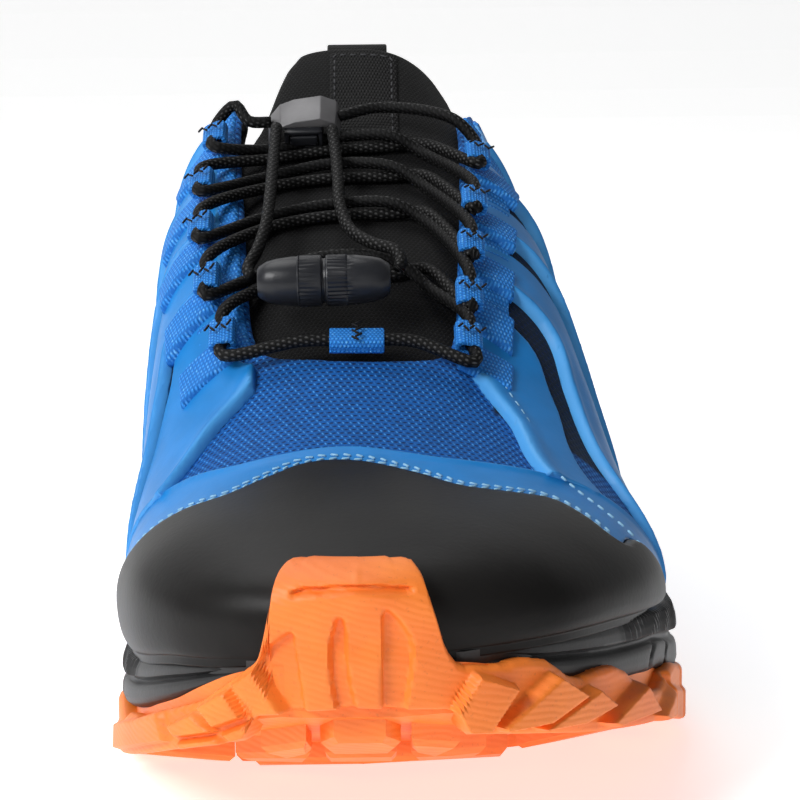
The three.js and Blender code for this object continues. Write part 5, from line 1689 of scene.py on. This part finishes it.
# %% Carving of the bumper
RUBBER = Finish("outsole_rubber", 0.5)
where = RUBBER.place()
split = RUBBER.node("ShaderNodeSeparateXYZ")
RUBBER.feed(split.inputs[0], where)
swirl = RUBBER.noise(140, 2)
wave = RUBBER.math("SINE", RUBBER.math("ADD", RUBBER.math("MULTIPLY", split.outputs[2], 5200.0),
                                       RUBBER.math("ADD", RUBBER.math("MULTIPLY", swirl, 9.0),
                                                   RUBBER.math("MULTIPLY", split.outputs[0], 1500.0))))
tone = RUBBER.mix(RUBBER.ramp(RUBBER.noise(50, 3), 0.3, 0.7), (0.98, 0.245, 0.03), (0.88, 0.185, 0.022))
RUBBER.colour(RUBBER.mix(RUBBER.math("MULTIPLY", RUBBER.ramp(RUBBER.noise(1400, 2), 0.6, 0.8), 0.35), tone,
                         (0.5, 0.09, 0.015)))
RUBBER.bump(RUBBER.math("ADD", wave, RUBBER.math("MULTIPLY", RUBBER.noise(1500, 3), 1.2)), 0.12, 0.0002)


def step_to(value, low, high):
    t = np.clip((value - low) / (high - low), 0, 1)
    return t * t * (3 - 2 * t)


def seen(points):
    """Where points in millimetres lie in the camera's view, in units of an 800 unit wide frame."""
    across, away, above = (points[..., k] - EYE[k] for k in range(3))
    depth = away * math.cos(PITCH) - above * math.sin(PITCH)
    u = FOCAL * across / depth
    v = -FOCAL * (away * math.sin(PITCH) + above * math.cos(PITCH)) / depth
    middle = FRAME_SIZE / 2
    return np.stack([middle - SIDE_SHIFT + math.cos(ROLL) * u - math.sin(ROLL) * v,
                     middle + math.sin(ROLL) * u + math.cos(ROLL) * v], axis=-1)


VIEW_SCALE = 6.0
EDGE = np.array([(100, 750), (121, 742), (124, 718), (128, 713), (138, 719), (157, 712), (200, 702),
                 (230, 681),
                 (254, 664), (258.5, 655), (262, 641), (268, 611), (274, 584), (278, 571), (284, 563),
                 (293, 560),
                 (345, 559.5), (405, 560), (413, 562), (420, 569), (425, 582), (432, 603), (438, 622),
                 (444, 642),
                 (450, 655), (457, 663), (465, 667), (478, 666), (490, 667), (507, 665), (527, 659),
                 (548, 661),
                 (560, 669), (570, 677), (583, 679), (597, 671), (613, 666), (626, 671), (637, 683),
                 (648, 691),
                 (660, 691), (668, 681), (675, 691), (684, 714), (700, 740)])
HOLLOWS = [
    (1.5, [(332, 629), (334, 620), (339, 616), (344, 619), (347, 630), (348, 657), (351, 683), (358, 712),
           (341, 716),
           (334, 706), (330, 683), (328, 657), (329, 640)]),
    (1.5, [(381, 617), (384, 610), (388, 609), (394, 613), (403, 623), (412, 637), (415, 650), (413, 675),
           (407, 712),
           (381, 714)]),
    (1.5, [(261, 651), (283, 634), (290, 631), (294, 634), (298, 660), (307, 718), (293, 721), (257, 668)]),
    (1.4, [(289, 594), (292, 590), (300, 587), (350, 584), (408, 585), (414, 588), (415, 592), (408, 595),
           (350, 595),
           (300, 597), (292, 598)]),
]
BLOCKS = [
    (1.6, [(232, 684), (256, 666), (292, 722), (265, 730)]),
    (1.9, [(200, 705), (230, 687), (248, 716), (217, 727)]),
    (1.7, [(223, 732), (250, 721), (264, 733), (235, 742)]),
    (1.8, [(172, 724), (197, 710), (221, 731), (180, 737)]),
    (1.4, [(181, 740), (221, 735), (232, 750), (183, 752)]),
    (1.4, [(119, 722), (165, 708), (173, 741), (118, 750)]),
    (3.0, [(473, 670), (514, 684), (486, 731), (463, 732), (448, 711)]),
    (3.2, [(548, 671), (579, 693), (541, 722), (497, 731), (492, 724)]),
    (3.0, [(587, 684), (608, 703), (574, 723), (535, 730), (531, 726)]),
    (2.8, [(635, 679), (651, 710), (607, 727), (596, 722)]),
    (2.2, [(668, 680), (684, 716), (656, 722), (652, 715)]),
]


def carved(places):
    """Height of the drawn relief in millimetres, for places in the view."""
    sunk, raised = np.zeros(len(places)), np.zeros(len(places))
    for depth, outline in HOLLOWS:
        gap = inside(np.array(outline, float), places) / VIEW_SCALE
        sunk = np.maximum(sunk, depth * step_to(-gap, -0.1, 0.6))
    for height, outline in BLOCKS:
        gap = inside(np.array(outline, float), places) / VIEW_SCALE
        raised = np.maximum(raised, height * step_to(-gap, -0.15, 0.6))
    return raised - sunk


print("drawn outlines", len(HOLLOWS) + len(BLOCKS))

# %% [markdown]
# Along the front the wall follows the drawn edge and blocks. Further back, where the photograph
# shows nothing, plain upright blocks with gaps go on to the heel.

# %% Outsole wall
WALL_STEP, SEEN_LENGTH, TOE_LIFT, WALL_DEEP = 0.45, 112, 4.6, 5.0
BLOCK_PITCH, ROWS_UP = 16.5, 62
FRONT_ENDS, LEANS_FROM = (84.0, 100.0), (38.5, 43.5)
line, out = plan_outline(WALL_STEP)
from_toe = (np.arange(len(line)) - int(np.argmin(line[:, 1]))) * WALL_STEP
kept = (np.abs(from_toe) < SEEN_LENGTH) | (np.arange(len(line)) % 3 == 0)
line, out, from_toe = line[kept], out[kept], from_toe[kept]
side = np.where(line[:, 0] < 0, -1.0, 1.0)
share = line[:, 1] / SOLE_LENGTH
station = np.abs(from_toe)
plain_top = tread_top(share, side) + 0.8
bottom = ground(share, side) + TOE_LIFT * (1 - step_to(from_toe, 17, 20)) * step_to(from_toe, -19, -16)

levels = np.arange(16.0, 60.0, 0.2)
lean = lean_back(line, np.repeat(levels[None, :], len(line), 0)) * step_to(levels, *LEANS_FROM)
places = seen(np.stack([line[:, :1] - out[:, :1] * lean, line[:, 1:] - out[:, 1:] * lean,
                        np.repeat(levels[None, :], len(line), 0)], axis=2))
under_edge = places[..., 1] > np.interp(places[..., 0], EDGE[:, 0], EDGE[:, 1])
first_over = np.where(under_edge.all(1), len(levels) - 1, np.argmin(under_edge, axis=1))
drawn_top = np.maximum(levels[first_over], bottom + 6)
rear = step_to(station, *FRONT_ENDS)
top = drawn_top * (1 - rear) + plain_top * rear

up = np.linspace(0, 1, ROWS_UP)[None, :]
tall = (top - bottom)[:, None]
z = bottom[:, None] + tall * up
over_bottom = z - bottom[:, None]
shift = lean_back(line, z) * step_to(z, *LEANS_FROM) * (1 - rear[:, None])
x_here, y_here = line[:, :1] - out[:, :1] * shift, line[:, 1:] - out[:, 1:] * shift
places = seen(np.stack([x_here, y_here, z], axis=2))
front = carved(places.reshape(-1, 2)).reshape(z.shape)
gap = step_to(0.11 - np.abs(station[:, None] / BLOCK_PITCH % 1.0 - 0.5), 0, 0.06)
back = 0.8 * (1 - step_to(over_bottom, 5.5, 7.0)) - 3.0 * gap * (1 - step_to(over_bottom, 8.0, 11.5))
relief = front * (1 - rear[:, None]) + back * rear[:, None]
relief = relief + 1.2 * (rounded((1 - up) * tall, 1.6) - 1) + 0.7 * (rounded(up * tall, 0.9) - 1) + 0.3
wall_out = np.stack([x_here + out[:, :1] * relief, y_here + out[:, 1:] * relief, z], axis=2)
few = [0, ROWS_UP // 3, 2 * ROWS_UP // 3, ROWS_UP - 1]
deep = WALL_DEEP + shift[:, few]
wall_in = np.stack([line[:, :1] - out[:, :1] * deep, line[:, 1:] - out[:, 1:] * deep,
                    z[:, few] - np.array([0, 0, 0, 0.8])[None, :]], axis=2)


def strip(outer, inner):
    """A closed strip round the outline, from an outer and an inner face."""
    count = len(outer)
    ring = np.concatenate([outer, inner[:, ::-1]], axis=1)
    wide = ring.shape[1]
    faces = []
    for k in range(count - 1):
        for j in range(wide):
            n = (j + 1) % wide
            faces.append((k * wide + j, k * wide + n, (k + 1) * wide + n, (k + 1) * wide + j))
    faces.append(tuple(range(wide))[::-1])
    faces.append(tuple((count - 1) * wide + j for j in range(wide)))
    return ring.reshape(-1, 3), faces


points, faces = strip(wall_out, wall_in)
piece = finish_mesh("outsole_wall", points, faces, RUBBER, angle=50)
stand_for("outsole")
print("outsole wall", len(faces), "faces")

# %% [markdown]
# Inside the wall lies the outsole's plate, a curved sheet that carries the lugs. It is laid from
# side to side across the outline.

# %% Outsole plate
LUG_DEPTH = 5.0


def ground_at(x, y):
    share = np.clip(y / SOLE_LENGTH, 0, 1)
    side = np.where(x < 0, -1.0, 1.0)
    half = np.maximum(sole_half(share, side), 0.01)
    t = np.clip((np.abs(x) / half - 0.4) / 0.5, 0, 1)
    return ground(share, 0.0) * (1 - t) + ground(share, side) * t


def plate(name, inset, low, high, finish):
    """A closed sheet across the sole between two levels."""
    columns = 41
    share = inset / SOLE_LENGTH + spread(180)[1:-1] * (1 - 2 * inset / SOLE_LENGTH)
    t = np.linspace(-1, 1, columns)
    sides = np.where(t < 0, -1.0, 1.0)
    half = np.maximum(sole_half(share[:, None], sides[None, :]) - inset, 0.3)
    x = half * np.abs(t) * sides
    y = np.repeat(share[:, None] * SOLE_LENGTH, columns, 1)
    top_points = np.stack([x, y, high(x, y)], axis=2).reshape(-1, 3)
    low_points = np.stack([x, y, low(x, y)], axis=2).reshape(-1, 3)
    count, total = len(share), len(top_points)
    faces = []
    for k in range(count - 1):
        for j in range(columns - 1):
            a = k * columns + j
            faces.append((a, a + 1, a + 1 + columns, a + columns))
            faces.append((total + a, total + a + columns, total + a + 1 + columns, total + a + 1))
        for j, flip in ((0, False), (columns - 1, True)):
            a, b = k * columns + j, (k + 1) * columns + j
            faces.append((a, b, total + b, total + a) if not flip else (a, total + a, total + b, b))
    for k, flip in ((0, True), (count - 1, False)):
        for j in range(columns - 1):
            a = k * columns + j
            faces.append((a, a + 1, total + a + 1, total + a) if not flip else (a, total + a, total + a + 1,
                                                                                a + 1))
    return finish_mesh(name, np.vstack([top_points, low_points]), faces, finish, angle=40)


def tread_level(x, y):
    share = np.clip(y / SOLE_LENGTH, 0, 1)
    return tread_top(share, np.where(x < 0, -1.0, 1.0)) - 0.4


piece = plate("outsole_plate", 3.0, lambda x, y: ground_at(x, y) + LUG_DEPTH * 0.8, tread_level, RUBBER)
stand_for("outsole")
print("outsole plate", len(piece.data.polygons), "faces")

# %% [markdown]
# The lugs under the sole are many small blocks with cut corners: slanted ones along both edges,
# chevrons in the middle and six drawn ones under the toe. Each is drawn in plan inside the
# outline, and pulled down to the ground with a chamfer round its sole.

# %% Lugs
LUG_WIDTH, LUG_GAP = 17.0, 5.0
outlines = []
for at in np.arange(0.1, 0.93, 0.062):
    to = at + 0.062 - LUG_GAP / SOLE_LENGTH
    for s in (-1, 1):
        inner = [s * max(8, float(sole_half(v, s)) - LUG_WIDTH) for v in (at, to)]
        edge = [(s * (float(sole_half(v, s)) - 1.0), v * SOLE_LENGTH) for v in np.linspace(at, to, 4)]
        outlines.append([(inner[0], (at + 0.018) * SOLE_LENGTH), *edge,
                         (inner[1], (to + 0.018) * SOLE_LENGTH)])
for at in np.arange(0.12, 0.9, 0.075):
    left, right = (s * max(4, float(sole_half(at, s)) - LUG_WIDTH - LUG_GAP) for s in (-1, 1))
    y, arm = at * SOLE_LENGTH, 0.024 * SOLE_LENGTH
    outlines.append([(left, y), (0, y - arm), (right, y), (right, y + arm), (0, y), (left, y + arm)])
outlines += [[(-6.6, 8.5), (-4.2, 4.2), (4.6, 4.2), (7.2, 8.5), (5.6, 15), (-5, 15)],
             [(-17, 13.5), (-9, 7.0), (-8.2, 14), (-13, 20)], [(9, 6.5), (17.5, 13), (13.5, 20), (9.2, 14)],
             [(-22, 24), (-15, 18.5), (-8.5, 19), (-9.5, 28), (-20, 29)],
             [(-6, 18.5), (6.5, 18.5), (6.5, 28), (-6, 28)],
             [(22.5, 24), (15.5, 18), (9, 19), (10, 28), (20.5, 29)]]
points, faces = [], []
for outline in outlines:
    ring = np.array(outline, float)
    area = 0.5 * np.sum(ring[:, 0] * np.roll(ring[:, 1], -1) - np.roll(ring[:, 0], -1) * ring[:, 1])
    if area < 0:
        ring = ring[::-1]
    middle = ring.mean(0)
    small = middle + (ring - middle) * (1 - 1.1 / np.maximum(np.linalg.norm(ring - middle, axis=1,
                                                                            keepdims=True), 2))
    start, n = len(points), len(ring)
    for spots, lift in ((ring, LUG_DEPTH + 0.5), (ring, 1.0), (small, 0.0)):
        points += [(p[0], p[1], float(ground_at(p[0], p[1])) + lift) for p in spots]
    for layer in (0, 1):
        for j in range(n):
            a, b = start + layer * n + j, start + layer * n + (j + 1) % n
            faces.append((a, a + n, b + n, b))
    faces.append(tuple(start + 2 * n + j for j in range(n))[::-1])
    faces.append(tuple(start + j for j in range(n)))
piece = finish_mesh("outsole_lugs", np.array(points), faces, RUBBER, weld=False, smooth=False)
stand_for("outsole")
print("lugs", len(outlines))

# %% [markdown]
# The midsole is one block of firm black foam. Its wall bulges low down, steps in at a groove and
# leans in to the rim. Fine upright ribs cover its upper band at the ball of the foot, and two
# curved grooves run down the bulge.

# %% Midsole
FOAM = Finish("midsole_foam", 0.5)
FOAM.colour(FOAM.mix(FOAM.ramp(FOAM.noise(90, 3), 0.35, 0.7), (0.021, 0.021, 0.022), (0.014, 0.014, 0.015)))
FOAM.bump(FOAM.math("ADD", FOAM.noise(1300, 3), FOAM.math("MULTIPLY", FOAM.noise(200, 2), 1.5)), 0.15,
          0.0003)
MID_STEP, MID_ROWS = 0.55, 34
mid_line, mid_out = plan_outline(MID_STEP, 1 - 4 / SOLE_LENGTH, 4.0, SOLE_LENGTH - 6)
side = np.where(mid_line[:, 0] < 0, -1.0, 1.0)
share = mid_line[:, 1] / SOLE_LENGTH
half = sole_half(share, side)
up = np.linspace(0, 1, MID_ROWS)[None, :]
low, high = tread_top(share, side) - 0.8, rim(share, side) + 0.35
z = low[:, None] + (high - low)[:, None] * up
PROFILE = np.array([[0, 1.2], [0.08, 0.2], [0.2, -0.3], [0.34, -0.2], [0.42, 0.1], [0.47, 1.2], [0.5, 1.6],
                    [0.54, 1.5], [0.6, 0.7], [0.75, 0.9], [0.9, 1.6], [0.96, 2.2], [1, 3.2]])
inset = np.interp(up, PROFILE[:, 0], PROFILE[:, 1])
toe_mid = int(np.argmin(mid_line[:, 1]))
along = np.abs(np.arange(len(mid_line)) - toe_mid)[:, None] * MID_STEP
band = step_to(up, 0.56, 0.62) * (1 - step_to(up, 0.92, 0.97))
front_ribs = step_to(share, 0.13, 0.15) * (1 - step_to(share, 0.37, 0.39))
blocks = (((share - 0.2) / 0.055) % 1.0 < 0.49) & (share > 0.37) & (share < 0.84)
ribbed = np.maximum(front_ribs, blocks.astype(float))[:, None]
ridge = 0.5 + 0.5 * np.sin(along * 2 * np.pi / 2.3 + 3.0 * (up - 0.7))
relief = 0.95 * ribbed * band * np.clip(1.6 * ridge - 0.3, 0, 1)
curve = 6.0 * (up - 0.2) ** 2 * 14
for at in (78.0, 92.0, 118.0, 150.0, 190.0, 230.0):
    line_depth = np.exp(-((along - at - curve) / 0.8) ** 2)
    relief = relief - 0.9 * line_depth * (1 - step_to(up, 0.4, 0.46)) * step_to(up, 0.02, 0.1)
tip = np.minimum(1, half / TIP_ROUND)[:, None]
push = (relief - inset) * tip
outer = np.stack([mid_line[:, :1] + mid_out[:, :1] * push, mid_line[:, 1:] + mid_out[:, 1:] * push, z],
                 axis=2)
deep = np.minimum(8.0, 0.6 * half + 0.4)[:, None] * np.ones((1, 3))
few = [0, MID_ROWS // 2, MID_ROWS - 1]
inner = np.stack([mid_line[:, :1] - mid_out[:, :1] * deep, mid_line[:, 1:] - mid_out[:, 1:] * deep,
                  z[:, few]], axis=2)
points, faces = strip(outer, inner)
piece = finish_mesh("midsole_wall", points, faces, FOAM, angle=50)
stand_for("midsole")
piece = plate("midsole_core", 6.0, tread_level, lambda x, y: seat(x, y) + 0.2, FOAM)
stand_for("midsole")
print("midsole", len(faces), "faces")
